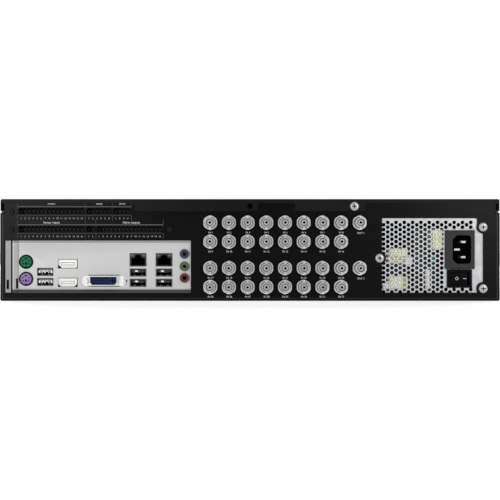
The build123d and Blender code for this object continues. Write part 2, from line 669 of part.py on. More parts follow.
def psu_case():
    """The supply's steel box: perforated rear face, and a fan opening at its inner end."""
    y0, y1 = rear(1.3), rear(1.3 + PSU_D)
    outer = window(PSU_X, PSU_Z)
    walls = slab(outer - window(shrink(PSU_X, 1), shrink(PSU_Z, 1)), y0, y1)
    rear_holes = [disc(x, z, HOLE_R) for x, z in psu_holes()]
    rear_holes += [disc(x, z, 1.75) for x, z in PSU_SCREWS]
    rear_holes.append(window(span(INLET_X, 22.4), span(INLET_Z, 30.4)))
    rear_holes.append(window(span(SWITCH_X, 19.2), span(SWITCH_Z, 13.8)))
    fan_x, fan_z = sum(PSU_X) / 2, sum(PSU_Z) / 2
    inner_face = outer - disc(fan_x, fan_z, PSU_FAN / 2 - 1.5)
    return walls + slab(outer - rear_holes, y0, y0 + 1) + slab(inner_face, y1 - 1, y1)


def psu_board():
    """The supply's insides: two circuit boards, wound parts, capacitors and heat-sink plates."""
    board = block((111, 205), (rear(26), rear(165)), (8, 9.6))
    board += block((111, 168), (rear(6), rear(26)), (8, 9.6))
    top = 9.6
    riser = block((144, 169), (rear(21), rear(22.6)), (top, 64))
    choke = block((120, 138), (rear(9), rear(30)), (top, 44))
    filter_parts = [
        block((157.5, 168), (rear(8), rear(21)), (44, 61)),
        block((157.6, 161), (rear(8.5), rear(21)), (32.5, 38.5)),
        block((153, 156.6), (rear(7), rear(10)), (top, 26)),
    ]
    plates = [block(span(x, 3), (rear(y), rear(y + 60)), (top, 50)) for x, y in ((146, 62), (186, 62))]
    cans = [
        post(160, rear(80), 10, top, 42),
        post(174, rear(110), 8, top, 34),
        post(130, rear(120), 9, top, 38),
    ]
    return [board, riser, choke, *filter_parts, *plates, *cans]


def inlet_body():
    """The power inlet: flange, housing, and a socket whose corners on the earth side are cut."""
    flange = slab(window(span(INLET_X, INLET_W), span(INLET_Z, INLET_H)), rear(-1.8), rear(1.25))
    flange = chamfer(flange.faces().sort_by(Axis.Y)[0].edges(), 0.7)
    housing = slab(window(span(INLET_X, 22), span(INLET_Z, 30)), rear(1.25), rear(24))
    half_w, half_h = 7.9, 12.3
    mouth = Pos(SOCKET_X, INLET_Z) * Rectangle(2 * half_w, 2 * half_h)
    cavity = slab(mouth, rear(-3), rear(15.5))
    upright = cavity.edges().filter_by(Axis.Y)
    cavity = chamfer(upright.filter_by(lambda e: e.center().X < SOCKET_X), 3.6)
    upright = cavity.edges().filter_by(Axis.Y)
    cavity = fillet(upright.filter_by(lambda e: e.center().X > SOCKET_X + half_w - 0.1), 3.0)
    return flange + housing - cavity


def inlet_pins():
    """Three flat blades: two for the line, and the longer earth blade set towards the cut corners."""
    line = [
        block(span(SOCKET_X + 1.8, 4.0), (rear(1.0), rear(15.5)), span(INLET_Z + rise, 1.9))
        for rise in (-6.6, 6.6)
    ]
    earth = block(span(SOCKET_X - 3.9, 5.0), (rear(-0.2), rear(15.5)), span(INLET_Z, 1.9))
    return [*line, earth]


def switch_frame():
    """The snap-in frame round the rocker, bored for its pivot."""
    mouth = window(span(SWITCH_X, 16.6), span(SWITCH_Z, 11.6))
    flange = slab(window(span(SWITCH_X, SWITCH_W), span(SWITCH_Z, SWITCH_H)) - mouth, rear(-1.2), rear(1.25))
    body = slab(window(span(SWITCH_X, 18.8), span(SWITCH_Z, 13.4)) - mouth, rear(1.25), rear(14))
    bore = post(SWITCH_X, rear(ROCKER_DEPTH + 1.5), 1.0 + FIT, SWITCH_Z - 8, SWITCH_Z + 8)
    return flange + body - bore


def switch_rocker():
    """The rocker, tilted to its off position about its own upright pivot."""
    profile = Polygon(
        (-7.5, -4.4), (0, -3.2), (7.5, -4.4), (7.5, -0.5), (3, 4.5), (-3, 4.5), (-7.5, -0.5), align=None
    )
    key = extrude(profile, amount=5.55, both=True) + Cylinder(1.0, 12.8)
    return Pos(SWITCH_X, rear(ROCKER_DEPTH + 1.5), SWITCH_Z) * Rot(0, 0, -ROCKER_TILT) * key


# ---------------------------------------------------------------- fans
def fan_frame(x, z, y0, size, depth):
    """A square fan frame with a bored motor mount on four arms."""
    face = window(span(x, size), span(z, size)) - disc(x, z, size / 2 - 1.6)
    frame = slab(face, y0, y0 + depth)
    arms = [Pos(x, z) * Rectangle(size - 2, 3), Pos(x, z) * Rectangle(3, size - 2)]
    mount = sum(arms, disc(x, z, size * 0.21)) - disc(x, z, 1.5 + FIT)
    bolt = size * FAN_BOLT
    holes = [
        rod(x + dx, z + dz, 2, y0 - 1, y0 + depth + 1)
        for dx in (-bolt, bolt)
        for dz in (-bolt, bolt)
    ]
    return frame + slab(mount, y0, y0 + 2.5) - holes


def fan_rotor(x, z, y0, size, depth):
    """A hub with seven pitched blades and a shaft that runs in the frame's motor mount."""
    hub_r, tip_r = size * 0.2, size / 2 - 3
    hub = rod(0, 0, hub_r, y0 + 3, y0 + depth - 1) + rod(0, 0, 1.5, y0 + 0.3, y0 + 4)
    blade = Box(tip_r - hub_r + 1.5, 1.4, depth * 0.8)
    blade = Pos((tip_r + hub_r - 1.5) / 2, 0, 0) * Rot(35, 0, 0) * blade
    blades = [
        Pos(0, y0 + depth / 2 + 1, 0) * Rot(0, 360 / 7 * i, 0) * Rot(90, 0, 0) * blade
        for i in range(7)
    ]
    return Pos(x, 0, z) * sum(blades, hub)


CASE_FAN_Y = rear(FAN_WALL + SHEET + 0.1)
PSU_FAN_PLACE = (sum(PSU_X) / 2, sum(PSU_Z) / 2, rear(1.3 + PSU_D - 1.1 - 20), PSU_FAN, 20.0)


def fan_frames():
    """The frames of the two case fans and of the power supply's fan."""
    return [fan_frame(x, FAN_Z, CASE_FAN_Y, FAN, FAN_DEPTH) for x in FAN_X] + [fan_frame(*PSU_FAN_PLACE)]


# ---------------------------------------------------------------- drives
def hard_drives():
    """Four recording drives in two stacks, each with a raised lid and a thinner rim."""
    width, length, height = DRIVE
    y = (rear(DRIVE_DEPTH), rear(DRIVE_DEPTH + length))
    drives = []
    for x in DRIVE_X:
        for z in DRIVE_Z:
            body = block(span(x, width), y, (z, z + height - 3))
            lid = block(span(x, width - 8), shrink(y, 8), (z + height - 3, z + height))
            drives.append(body + lid)
    return drives


def optical_drive():
    """The slim disc drive's metal case, open at the front panel."""
    y0, y1 = FRONT_BACK - 0.2 - OPTICAL_D, FRONT_BACK - 0.2
    hollow = block(shrink(OPTICAL_X, 1), (y0 + 1, y1 + 1), shrink(OPTICAL_Z, 1))
    return block(OPTICAL_X, (y0, y1), OPTICAL_Z) - hollow


def optical_tray():
    """The sliding tray with its disc well and the bezel that closes the panel's opening."""
    y0 = FRONT_BACK - 123
    tray = block((OPTICAL_X[0] + 2.5, OPTICAL_X[1] - 2.5), (y0, FRONT), (OPTICAL_Z[0] + 2, OPTICAL_Z[1] - 3))
    centre = (sum(OPTICAL_X) / 2, y0 + 63)
    tray -= post(*centre, 60.4, OPTICAL_Z[1] - 5.5, OPTICAL_Z[1])
    tray += post(*centre, 7.2, OPTICAL_Z[0] + 2, OPTICAL_Z[1] - 3.2)
    bezel = block(shrink(OPTICAL_X, 0.2), (FRONT - 1.6, FRONT + 3.2), shrink(OPTICAL_Z, 0.2))
    bezel = chamfer(bezel.faces().sort_by(Axis.Y)[-1].edges(), 0.5)
    pocket = block(span(EJECT_X, 9.6), (FRONT - 0.8, FRONT + 5), span(EJECT_Z, 3.4))
    return tray + bezel - pocket


def eject_button():
    return block(span(EJECT_X, 9.0), (FRONT + 0.4, FRONT + 3.8), span(EJECT_Z, 2.8))


# ---------------------------------------------------------------- front controls
def front_door():
    """The filter door: a shallow slotted tray, rounded about its two pivots."""
    y0, y1 = FRONT + DOOR_BACK, FRONT + DOOR_FACE
    pivot = (HINGE_X, FRONT + HINGE_OUT)
    height = DOOR_Z[1] - DOOR_Z[0]
    outline = Pos((pivot[0] + DOOR_X[1]) / 2, (y0 + y1) / 2) * Rectangle(DOOR_X[1] - pivot[0], y1 - y0)
    outline += Pos(*pivot) * Circle((y1 - y0) / 2)
    door = Pos(0, 0, DOOR_Z[0]) * extrude(outline, amount=height)
    door -= block((HINGE_X + 8, DOOR_X[1] - 1.5), (y0 - 1, y1 - 1.6), shrink(DOOR_Z, 1.5))
    door -= [
        block(span(-166 + 26 * i, 20), (y1 - 3, y1 + 1), span(DOOR_Z[0] + 14 + 8 * j, 3.2))
        for i in range(8)
        for j in range(6)
    ]
    door -= rod(LOCK_X, LOCK_Z, LOCK_R + FIT, y0, y1 + 1)
    door = door + [post(*pivot, HINGE_R, z, z + 6) for z in (DOOR_Z[0] - 4.5, DOOR_Z[1] - 1.5)]
    return door


def door_lock():
    """A key cylinder with a keyway, a rim on the door's face, and the cam behind it."""
    face = FRONT + DOOR_FACE
    lock = rod(LOCK_X, LOCK_Z, LOCK_R, FRONT + 5.6, face) + rod(LOCK_X, LOCK_Z, 7.0, face + 0.1, face + 1.8)
    lock += rod(LOCK_X, LOCK_Z, LOCK_R, face - 0.1, face + 0.2)
    lock += block(span(LOCK_X, 6), (FRONT + 4.0, FRONT + 5.6), (LOCK_Z - 9.5, LOCK_Z + 3))
    return lock - block(span(LOCK_X, 1.2), (face - 4, face + 3), span(LOCK_Z, 6))


def push_button(x, z, r, flange, proud):
    """A round button through the front panel, kept in by a flange behind it."""
    stem = rod(x, z, r, FRONT_BACK - 2, FRONT + proud)
    stem = fillet(stem.edges().group_by(Axis.Y)[-1], 0.4)
    return stem + rod(x, z, flange, FRONT_BACK - 2, FRONT_BACK - 0.1)


def status_lights():
    return [rod(x, BUTTON_Z, LIGHT_R, FRONT - 7, FRONT + 0.8) for x in LIGHT_XS]


def front_usb_ports():
    """Two flat sockets for export drives, each with its own metal shell."""
    return [
        block(span(FRONT_USB_X, 13.3), (FRONT - 15, FRONT + 0.6), span(z, 5.9))
        - (
            block(span(FRONT_USB_X, 12.5), (FRONT - 13, FRONT + 1), span(z, 5.1))
            - block(span(FRONT_USB_X, 11.2), (FRONT - 13, FRONT - 0.8), (z + 0.3, z + 2.1))
        )
        for z in FRONT_USB_ZS
    ]


def handles():
    """A bent round bar on each side of the front."""
    reach = FRONT + HANDLE_PROUD - HANDLE_R
    bars = []
    for x in (-HANDLE_X, HANDLE_X):
        low, high = [[(x, FRONT, z), (x, reach, z)] for z in HANDLE_Z]
        path = FilletPolyline(*low, *reversed(high), radius=9)
        bars.append(sweep(Plane(origin=path @ 0, z_dir=path % 0) * Circle(HANDLE_R), path=path))
    return bars


# ---------------------------------------------------------------- write every sub-part
os.makedirs("parts", exist_ok=True)

save("base_tray", base_tray())
save("rear_panel", rear_panel())
save("top_cover", top_cover())
save("front_panel", front_panel())
save("fan_bracket", fan_bracket())
save("drive_cage", drive_cage())
save("rear_screws", *rear_screws())
save("black_screws", *black_screws())
save("terminal_board", terminal_board())
save("upper_terminal_headers", *terminal_headers(UPPER_HEADERS))
save("lower_terminal_headers", *terminal_headers(LOWER_HEADERS))
save("terminal_pins", *terminal_pins())
save("bnc_board", *bnc_board())
save("bnc_shells_upper", *bnc_shells(0, 1))
save("bnc_shells_lower", *bnc_shells(2, 3))
save("bnc_nuts", *bnc_nuts())
save("bnc_insulators", *bnc_insulators())
save("bnc_contacts", *bnc_contacts())
save("motherboard", motherboard())
save("board_components", *board_components())
save("board_standoffs", *board_standoffs())
save("memory_modules", *memory_modules())
save("cpu_heatsink", cpu_heatsink())
save("capture_card", *capture_card())
save("ribbon_cables", *ribbon_cables())
save("io_shield", io_shield())
save("shield_side_strip", shield_side_strip())
save("mouse_port", round_port(MOUSE_Z))
save("keyboard_port", round_port(KEYBOARD_Z))
save("usb_port_pair", usb_port_pair())
save("display_port_upper", display_port(DISPLAY_UPPER_Z, 20.6, 2.6, 0.4))
save("display_port_lower", display_port(DISPLAY_LOWER_Z, BOARD_Z, 1.9, 1.9))
save("monitor_port_shell", *monitor_port_shell())
save("monitor_port_insert", monitor_port_insert())
save("network_stack_left", network_stack(STACK_X[0]))
save("network_stack_right", network_stack(STACK_X[1]))
for colour, height in zip(("blue", "green", "pink"), AUDIO_Z):
    save(f"audio_jack_{colour}", audio_jack(height))
save("psu_case", psu_case())
save("psu_board", *psu_board())
save("inlet_body", inlet_body())
save("inlet_pins", *inlet_pins())
save("switch_frame", switch_frame())
save("switch_rocker", switch_rocker())
save("fan_frames", *fan_frames())
save("psu_fan_rotor", fan_rotor(*PSU_FAN_PLACE))
for side, middle in zip(("left", "right"), FAN_X):
    save(f"case_fan_rotor_{side}", fan_rotor(middle, FAN_Z, CASE_FAN_Y, FAN, FAN_DEPTH))
save("hard_drives", *hard_drives())
save("optical_drive", optical_drive())
save("optical_tray", optical_tray())
save("eject_button", eject_button())
save("front_door", front_door())
save("door_lock", door_lock())
save("power_button", push_button(POWER_X, BUTTON_Z, POWER_R, POWER_FLANGE, 1.6))
save("reset_button", push_button(RESET_X, BUTTON_Z, RESET_R, RESET_FLANGE, 0.9))
save("status_lights", *status_lights())
save("front_usb_ports", *front_usb_ports())
save("handles", *handles())
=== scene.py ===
from functools import cache
from math import atan, cos, hypot, pi, radians, sin

import bmesh
import bpy
from mathutils import Matrix, Vector


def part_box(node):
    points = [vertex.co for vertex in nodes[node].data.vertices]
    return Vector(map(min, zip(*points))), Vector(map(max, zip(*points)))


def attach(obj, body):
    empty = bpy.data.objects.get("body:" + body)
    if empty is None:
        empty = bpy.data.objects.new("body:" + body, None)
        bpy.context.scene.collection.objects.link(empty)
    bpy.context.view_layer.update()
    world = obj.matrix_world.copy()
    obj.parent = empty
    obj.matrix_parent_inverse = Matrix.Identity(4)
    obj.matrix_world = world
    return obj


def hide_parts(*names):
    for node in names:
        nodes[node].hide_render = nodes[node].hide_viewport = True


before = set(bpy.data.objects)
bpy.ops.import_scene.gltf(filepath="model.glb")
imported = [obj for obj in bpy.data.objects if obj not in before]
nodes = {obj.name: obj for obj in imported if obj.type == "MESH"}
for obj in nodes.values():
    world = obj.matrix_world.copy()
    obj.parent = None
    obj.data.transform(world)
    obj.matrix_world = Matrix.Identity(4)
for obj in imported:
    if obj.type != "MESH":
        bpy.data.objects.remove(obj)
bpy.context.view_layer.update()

# Pieces are drawn in millimetres: x and z as in the frame, and y the depth behind the rear panel's
# outer face, so what stands out of the rear has a negative y. make() turns that into metres.
MM = 0.001
scene = bpy.context.scene
ORIGIN = Vector((0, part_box("rear_panel")[0].y, 0))


# -------- places, from the frame
@cache
def box_mm(node):
    """A CAD node's lowest and highest corners, in the pieces' millimetres."""
    return [(corner - ORIGIN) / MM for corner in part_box(node)]


@cache
def middle(node):
    low, high = box_mm(node)
    return (low + high) / 2


@cache
def solids(node):
    """The lowest and highest corners of each separate solid in a CAD node, left to right."""
    shape = bmesh.new()
    shape.from_mesh(nodes[node].data)
    bmesh.ops.remove_doubles(shape, verts=shape.verts, dist=1e-6)
    found, seen = [], set()
    for start in shape.verts:
        if start in seen:
            continue
        seen.add(start)
        group, queue = [], [start]
        while queue:
            vertex = queue.pop()
            group.append((vertex.co - ORIGIN) / MM)
            for edge in vertex.link_edges:
                other = edge.other_vert(vertex)
                if other not in seen:
                    seen.add(other)
                    queue.append(other)
        found.append([Vector([end(p[i] for p in group) for i in range(3)]) for end in (min, max)])
    shape.free()
    return sorted(found, key=lambda pair: (round(pair[0].x, 2), pair[0].z))


@cache
def spots(node):
    """The middle, in X and Z, of each separate solid in a CAD node, left to right."""
    return [((low.x + high.x) / 2, (low.z + high.z) / 2) for low, high in solids(node)]


FRONT = box_mm("handles")[0].y  # the front panel's outer face
GLOSS_SPREAD = 0.06  # how far a finish's roughness wanders either way
CREASE_ANGLE, EDGE_ANGLE = 35, 30  # degrees from which creases are sharp, and edges rounded


# -------- materials
def new_material(name):
    material = bpy.data.materials.new(name)
    material.use_nodes = True
    tree = material.node_tree
    return material, tree, tree.nodes["Principled BSDF"]


def add(tree, kind, **values):
    """A node with some of its sockets or properties set."""
    node = tree.nodes.new(kind)
    for key, value in values.items():
        if key in node.inputs:
            node.inputs[key].default_value = value
        else:
            setattr(node, key, value)
    return node


def ramp(tree, source, stops):
    """A colour ramp whose stops are (position, grey or colour)."""
    node = tree.nodes.new("ShaderNodeValToRGB")
    elements = node.color_ramp.elements
    while len(elements) < len(stops):
        elements.new(0.5)
    for element, (position, color) in zip(elements, stops):
        element.position = position
        element.color = (*color, 1) if isinstance(color, tuple) else (color, color, color, 1)
    tree.links.new(source, node.inputs["Fac"])
    return node.outputs["Color"]


def textured(tree, kind, **values):
    """A node fed with the object's own coordinates."""
    texture = add(tree, kind, **values)
    place = tree.nodes.new("ShaderNodeTexCoord")
    tree.links.new(place.outputs["Object"], texture.inputs["Vector"])
    return texture


def noise(tree, scale, stretch=(1, 1, 1), detail=3.0):
    """A noise over the object's own coordinates; scale is in cells per metre."""
    turn = textured(tree, "ShaderNodeMapping", Scale=stretch)
    texture = add(tree, "ShaderNodeTexNoise", Scale=scale, Detail=detail, Roughness=0.55)
    tree.links.new(turn.outputs["Vector"], texture.inputs["Vector"])
    return texture.outputs["Fac"]


def emboss(tree, shader, height, strength, depth, **values):
    """Gives a surface the relief of a height, depth mm deep."""
    bump = add(tree, "ShaderNodeBump", Strength=strength, Distance=depth * MM, **values)
    tree.links.new(height, bump.inputs["Height"])
    tree.links.new(bump.outputs["Normal"], shader.inputs["Normal"])
    return bump


def finish(name, color, rough, metallic=0.0, vary=0.06, clouds=45.0, grain=900.0, stretch=(1, 1, 1),
           relief=0.01, shine=0.5, **sockets):
    """A finish whose colour and roughness wander a little, with a fine relief, relief mm deep.

    color may be one grey, shine is the specular level, and sockets are other inputs of the shader."""
    material, tree, shader = new_material(name)
    color = color if isinstance(color, tuple) else (color,) * 3
    soft = [tuple(max(0.0, min(1.0, c * (1 + s * vary))) for c in color) for s in (-1, 1)]
    tint = ramp(tree, noise(tree, clouds), [(0.3, soft[0]), (0.7, soft[1])])
    tree.links.new(tint, shader.inputs["Base Color"])
    fine = noise(tree, grain, stretch)
    limits = {"To Min": max(0.03, rough - GLOSS_SPREAD), "To Max": min(1.0, rough + GLOSS_SPREAD)}
    gloss = add(tree, "ShaderNodeMapRange", **limits)
    tree.links.new(fine, gloss.inputs["Value"])
    tree.links.new(gloss.outputs["Result"], shader.inputs["Roughness"])
    emboss(tree, shader, fine, 0.6, relief)
    shader.inputs["Metallic"].default_value = metallic
    shader.inputs["Specular IOR Level"].default_value = shine
    for key, value in sockets.items():
        shader.inputs[key.replace("_", " ")].default_value = value
    return material


def plated(name, color, rough, metallic, vary=0.03):
    """A thin, smooth metal coat."""
    return finish(name, color, rough, metallic, vary, grain=1400, relief=0.004)


def plastic(name, color, rough=0.45, relief=0.01, **more):
    """Moulded plastic with a fine grain."""
    return finish(name, color, rough, grain=1500, relief=relief, **more)


def along(tree, axis, low, high):
    """How far along an axis of the frame a point is: 0 at low and 1 at high, both in millimetres."""
    split = textured(tree, "ShaderNodeSeparateXYZ")
    reach = add(tree, "ShaderNodeMapRange", **{"From Min": low * MM, "From Max": high * MM})
    tree.links.new(split.outputs[axis], reach.inputs["Value"])
    return reach.outputs["Result"]


def combine(tree, operation, first, second):
    """Two colours added or multiplied."""
    node = add(tree, "ShaderNodeVectorMath", operation=operation)
    tree.links.new(first, node.inputs[0])
    tree.links.new(second, node.inputs[1])
    return node.outputs["Vector"]


def powder_coat(name, color, rough, bend_highlight_box=None):
    """Black powder coat: orange peel with a finer sparkle on it.

    bends, when given, is the box of a panel whose coat gets a painted highlight along the folded edges of
    its foot and its two ends."""
    material, tree, shader = new_material(name)
    link = tree.links.new
    dark, light = (tuple(c * k for c in color) for k in (0.75, 1.3))
    tint = ramp(tree, noise(tree, 25), [(0.3, dark), (0.7, light)])
    # painted highlight: paler bands along the panel's folded edges at its two ends and its foot
    if bend_highlight_box:
        low, high = bend_highlight_box
        ends = [(0.0, 0.04), (0.0016, 0.04), (0.0028, 0.0), (0.9972, 0.0), (0.9984, 0.04), (1.0, 0.04)]
        foot = [(0.0, 0.012), (0.01, 0.012), (0.018, 0.0)]
        tint = combine(tree, "ADD", tint, ramp(tree, along(tree, "X", low.x, high.x), ends))
        tint = combine(tree, "ADD", tint, ramp(tree, along(tree, "Z", low.z, high.z), foot))
    link(tint, shader.inputs["Base Color"])
    sparkle = noise(tree, 2600, detail=2.0)
    link(ramp(tree, sparkle, [(0.3, rough - 0.05), (0.7, rough + 0.05)]), shader.inputs["Roughness"])
    peel = add(tree, "ShaderNodeBump", Strength=0.5, Distance=0.03 * MM)
    link(noise(tree, 420, detail=1.5), peel.inputs["Height"])
    link(peel.outputs["Normal"], emboss(tree, shader, sparkle, 0.4, 0.01).inputs["Normal"])
    shader.inputs["Specular IOR Level"].default_value = 0.075
    return material


def zinc_plate(name, color, rough, metallic=0.6):
    """Galvanised sheet: faint crystals and rolling marks."""
    material, tree, shader = new_material(name)
    link = tree.links.new
    crystals = textured(tree, "ShaderNodeTexVoronoi", Scale=210.0)
    flake = tree.nodes.new("ShaderNodeSeparateColor")
    link(crystals.outputs["Color"], flake.inputs["Color"])
    dark, light = (tuple(min(1.0, c * k) for c in color) for k in (0.95, 1.04))
    link(ramp(tree, flake.outputs["Red"], [(0.0, dark), (1.0, light)]), shader.inputs["Base Color"])
    link(ramp(tree, flake.outputs["Green"], [(0.0, rough - 0.06), (1.0, rough + 0.06)]),
         shader.inputs["Roughness"])
    emboss(tree, shader, noise(tree, 240, (1, 1, 9)), 0.5, 0.008)
    shader.inputs["Metallic"].default_value = metallic
    return material


def circuit(name, mask, copper):
    """Solder mask over copper tracks, a slightly lighter, raised pattern."""
    material, tree, shader = new_material(name)
    cells = textured(tree, "ShaderNodeTexVoronoi", Scale=260.0, distance="MANHATTAN", feature="F2")
    tracks = ramp(tree, cells.outputs["Distance"], [(0.42, mask), (0.5, copper), (0.58, mask)])
    tree.links.new(tracks, shader.inputs["Base Color"])
    emboss(tree, shader, cells.outputs["Distance"], 0.5, 0.03)
    shader.inputs["Roughness"].default_value = 0.38
    return material


def foam(name, color):
    """Open-cell filter foam, its pores darker as painted shade."""
    material, tree, shader = new_material(name)
    cells = textured(tree, "ShaderNodeTexVoronoi", Scale=700.0, feature="DISTANCE_TO_EDGE")
    strands = ramp(tree, cells.outputs["Distance"], [(0.0, color), (0.16, tuple(c * 0.15 for c in color))])
    tree.links.new(strands, shader.inputs["Base Color"])
    emboss(tree, shader, cells.outputs["Distance"], 0.9, 0.5, invert=True)
    shader.inputs["Roughness"].default_value = 0.9
    return material


POWDER = (0.0014, 0.0014, 0.0016)
TAPE_YELLOW = (1.0, 0.95, 0.58)
powder = powder_coat("black_powder_coat", POWDER, 0.28)
# the rear panel's coat carries a painted highlight along its folded edges
highlit_panel_powder = powder_coat("panel_powder_coat", POWDER, 0.28, box_mm("rear_panel"))
lid_powder = powder_coat("lid_powder_coat", (0.0055, 0.0055, 0.0066), 0.36)
strip_tin = finish("earthing_strip", 0.21, 0.4, 0.5, 0.03, grain=200, stretch=(4, 1, 1))
zinc = zinc_plate("galvanised_sheet", (0.78, 0.78, 0.79), 0.42)
bright_plate = zinc_plate("bright_power_plate", (0.48, 0.49, 0.505), 0.42, 0.3)
nickel = plated("nickel_plate", (0.7, 0.7, 0.69), 0.3, 0.7)
bright_shell = plated("bright_monitor_shell", (0.8, 0.8, 0.81), 0.4, 0.15, 0.02)
jack_nickel = plated("jack_nickel", (0.71, 0.71, 0.7), 0.33, 0.5)
# painted shade: a darker copy of the jack nickel for the barrel's rim
rim_shade_nickel = plated("jack_rim_nickel", (0.5, 0.5, 0.495), 0.36, 0.5)
shaded_nickel = plated("shaded_jack_neck", 0.06, 0.4, 0.3, 0.06)
dark_metal = finish("shaded_shell_metal", 0.16, 0.35, 0.6, relief=0.005)
bright_screw = finish("bright_screw_plate", 0.4, 0.3, 0.5, grain=700, relief=0.006)
black_screw = finish("black_oxide_screw", (0.006, 0.006, 0.0065), 0.42, grain=800, shine=0.15)
# painted shade for the cross recesses of the bright screws
screw_recess_shade = finish("screw_recess_shade", 0.05, 0.45, 0.4, grain=700, relief=0.006)
# painted shade: the pins' tin darkened to the shade inside the header slots
shade_dimmed_pin = finish("shade_dimmed_pin", (0.025, 0.025, 0.023), 0.4, 0.8, relief=0.004)
gold = finish("gold_contact", (0.83, 0.6, 0.24), 0.25, 1.0, relief=0.003)
contact_gold = finish("shaded_gold_contact", (0.05, 0.036, 0.016), 0.35, 0.8, relief=0.003)
black_plastic = plastic("black_plastic", (0.009, 0.009, 0.01), 0.42, 0.012, shine=0.35)
switch_plastic = plastic("switch_plastic", (0.003, 0.003, 0.0032), relief=0.012, shine=0.04)
# painted shade: a near-black, matt coat laid in socket cavities, holes, grooves and bores where shade falls
recess_shade_black = plastic("socket_cavity_painted_shade", 0.0015, 0.7, shine=0.04)
header_plastic = finish("header_plastic", (0.004, 0.004, 0.0045), 0.5, grain=1600, shine=0.12)
charcoal = finish("charcoal_plastic", (0.0125, 0.0125, 0.0135), 0.5, grain=1300, relief=0.02, shine=0.3)
white_plastic = plastic("white_plastic", (0.86, 0.86, 0.83), 0.42, vary=0.02)
sleeve_plastic = plastic("socket_dielectric", (0.56, 0.56, 0.55), 0.5, vary=0.03)
shaded_sleeve = plastic("shaded_dielectric", (0.2, 0.2, 0.195), 0.5, vary=0.03)
grey_plastic = plastic("grey_plastic", (0.3, 0.3, 0.31))
green_plastic = plastic("green_port_plastic", (0.006, 0.125, 0.056), shine=0.12)
purple_plastic = plastic("purple_port_plastic", (0.19, 0.108, 0.33), 0.4)
navy_plastic = plastic("navy_contact_block", (0.005, 0.014, 0.066), shine=0.12)
JACK_LIT_AND_SHADED_TINTS = {  # of a jack's collar, and a darker copy of it, painted shade in its groove and bore
    "blue": ((0.08, 0.1, 0.17), (0.008, 0.012, 0.04)),
    "green": ((0.105, 0.155, 0.075), (0.01, 0.03, 0.006)),
    "pink": ((0.3, 0.05, 0.055), (0.06, 0.002, 0.004)),
}
green_board = circuit("green_circuit_board", (0.008, 0.075, 0.03), (0.03, 0.16, 0.06))
dark_board = circuit("dark_circuit_board", (0.004, 0.008, 0.006), (0.012, 0.02, 0.014))
tape = finish("yellow_winding_tape", TAPE_YELLOW, 0.4, grain=500, stretch=(1, 1, 6), relief=0.05)
teal_part = finish("teal_capacitor", (0.02, 0.22, 0.22), 0.35, grain=1200)
film = finish("insulating_film", (0.005, 0.005, 0.006), 0.6, grain=300, relief=0.05)
ribbon = finish("ribbon_cable", (0.33, 0.33, 0.35), 0.5, grain=800, stretch=(1, 0.01, 0.01), relief=0.4)
alloy = finish("cast_alloy", (0.5, 0.5, 0.51), 0.45, 0.85, grain=700, relief=0.03)
satin_alloy = finish("satin_handle_alloy", (0.62, 0.62, 0.63), 0.3, 0.95, grain=240, stretch=(1, 1, 14))
fin_alloy = finish("fin_alloy", (0.58, 0.59, 0.6), 0.35, 0.95, grain=300, stretch=(1, 12, 1))
filter_foam = foam("door_filter_foam", (0.035, 0.035, 0.036))
ink, soft_ink = (
    finish(name, tone, 0.6, vary=0.1, clouds=900, grain=2500, relief=0.004)
    for name, tone in (("printed_ink", 0.62), ("soft_printed_ink", 0.38))
)
faint_ink = finish("faint_printed_rule", (0.055, 0.055, 0.056), 0.6, grain=2500, relief=0.004)
lenses = [
    finish(f"lens_{i}", color, 0.15, grain=600, relief=0.002, Transmission_Weight=0.35)
    for i, color in enumerate(((0.03, 0.35, 0.06), (0.45, 0.2, 0.02), (0.03, 0.1, 0.45)))
]


# -------- mesh helpers
def circle(x, z, r, sides):
    return [(x + r * cos(2 * pi * i / sides), z + r * sin(2 * pi * i / sides)) for i in range(sides)]


def corners(x, z, inset=0.0):
    """An outline of four corners between two (low, high) pairs."""
    x0, x1, z0, z1 = x[0] + inset, x[1] - inset, z[0] + inset, z[1] - inset
    return [(x0, z0), (x1, z0), (x1, z1), (x0, z1)]


def span(center, width):
    return (center - width / 2, center + width / 2)


class Form:
    """A mesh in the making."""

    def __init__(self):
        self.points, self.faces = [], []

    def loft(self, rings, closed=False):
        """Joins rings with the same number of points, and caps both ends unless it is closed."""
        start, count, total = len(self.points), len(rings[0]), len(rings)
        faces = [
            (i * count + k, i * count + (k + 1) % count,
             (i + 1) % total * count + (k + 1) % count, (i + 1) % total * count + k)
            for i in range(total if closed else total - 1)
            for k in range(count)
        ]
        if not closed:
            faces += [range(count), range((total - 1) * count, total * count)]
        self.points += [point for ring in rings for point in ring]
        self.faces += [[start + i for i in face] for face in faces]

    def stack(self, layers, closed=False):
        """A loft through outlines in X and Z, given as (outline, y)."""
        self.loft([[(x, y, z) for x, z in outline] for outline, y in layers], closed)

    def lathe(self, profile, x=0.0, z=0.0, sides=40, closed=False):
        """A profile of (radius, y) turned about an axis along Y."""
        self.stack([(circle(x, z, r, sides), y) for r, y in profile], closed)

    def brick(self, x, y, z):
        """A box between three (low, high) pairs."""
        self.stack([(corners(x, z), depth) for depth in y])

    def surround(self, outer, inner, y0, y1):
        """A flat frame between two outlines with the same number of points."""
        self.stack([(outer, y0), (inner, y0), (inner, y1), (outer, y1)], closed=True)

    def mesh(self, name, angle=CREASE_ANGLE):
        """The finished mesh in metres, with its normals out and its creases sharp."""
        data = bpy.data.meshes.new(name)
        data.from_pydata([Vector(p) * MM for p in self.points], [], self.faces)
        shape = bmesh.new()
        shape.from_mesh(data)
        bmesh.ops.recalc_face_normals(shape, faces=shape.faces)
        shape.to_mesh(data)
        shape.free()
        smooth(data, angle)
        return data


def smooth(data, angle):
    """Smooth shading, but for the creases sharper than an angle in degrees."""
    data.shade_smooth()
    data.set_sharp_from_angle(angle=radians(angle))


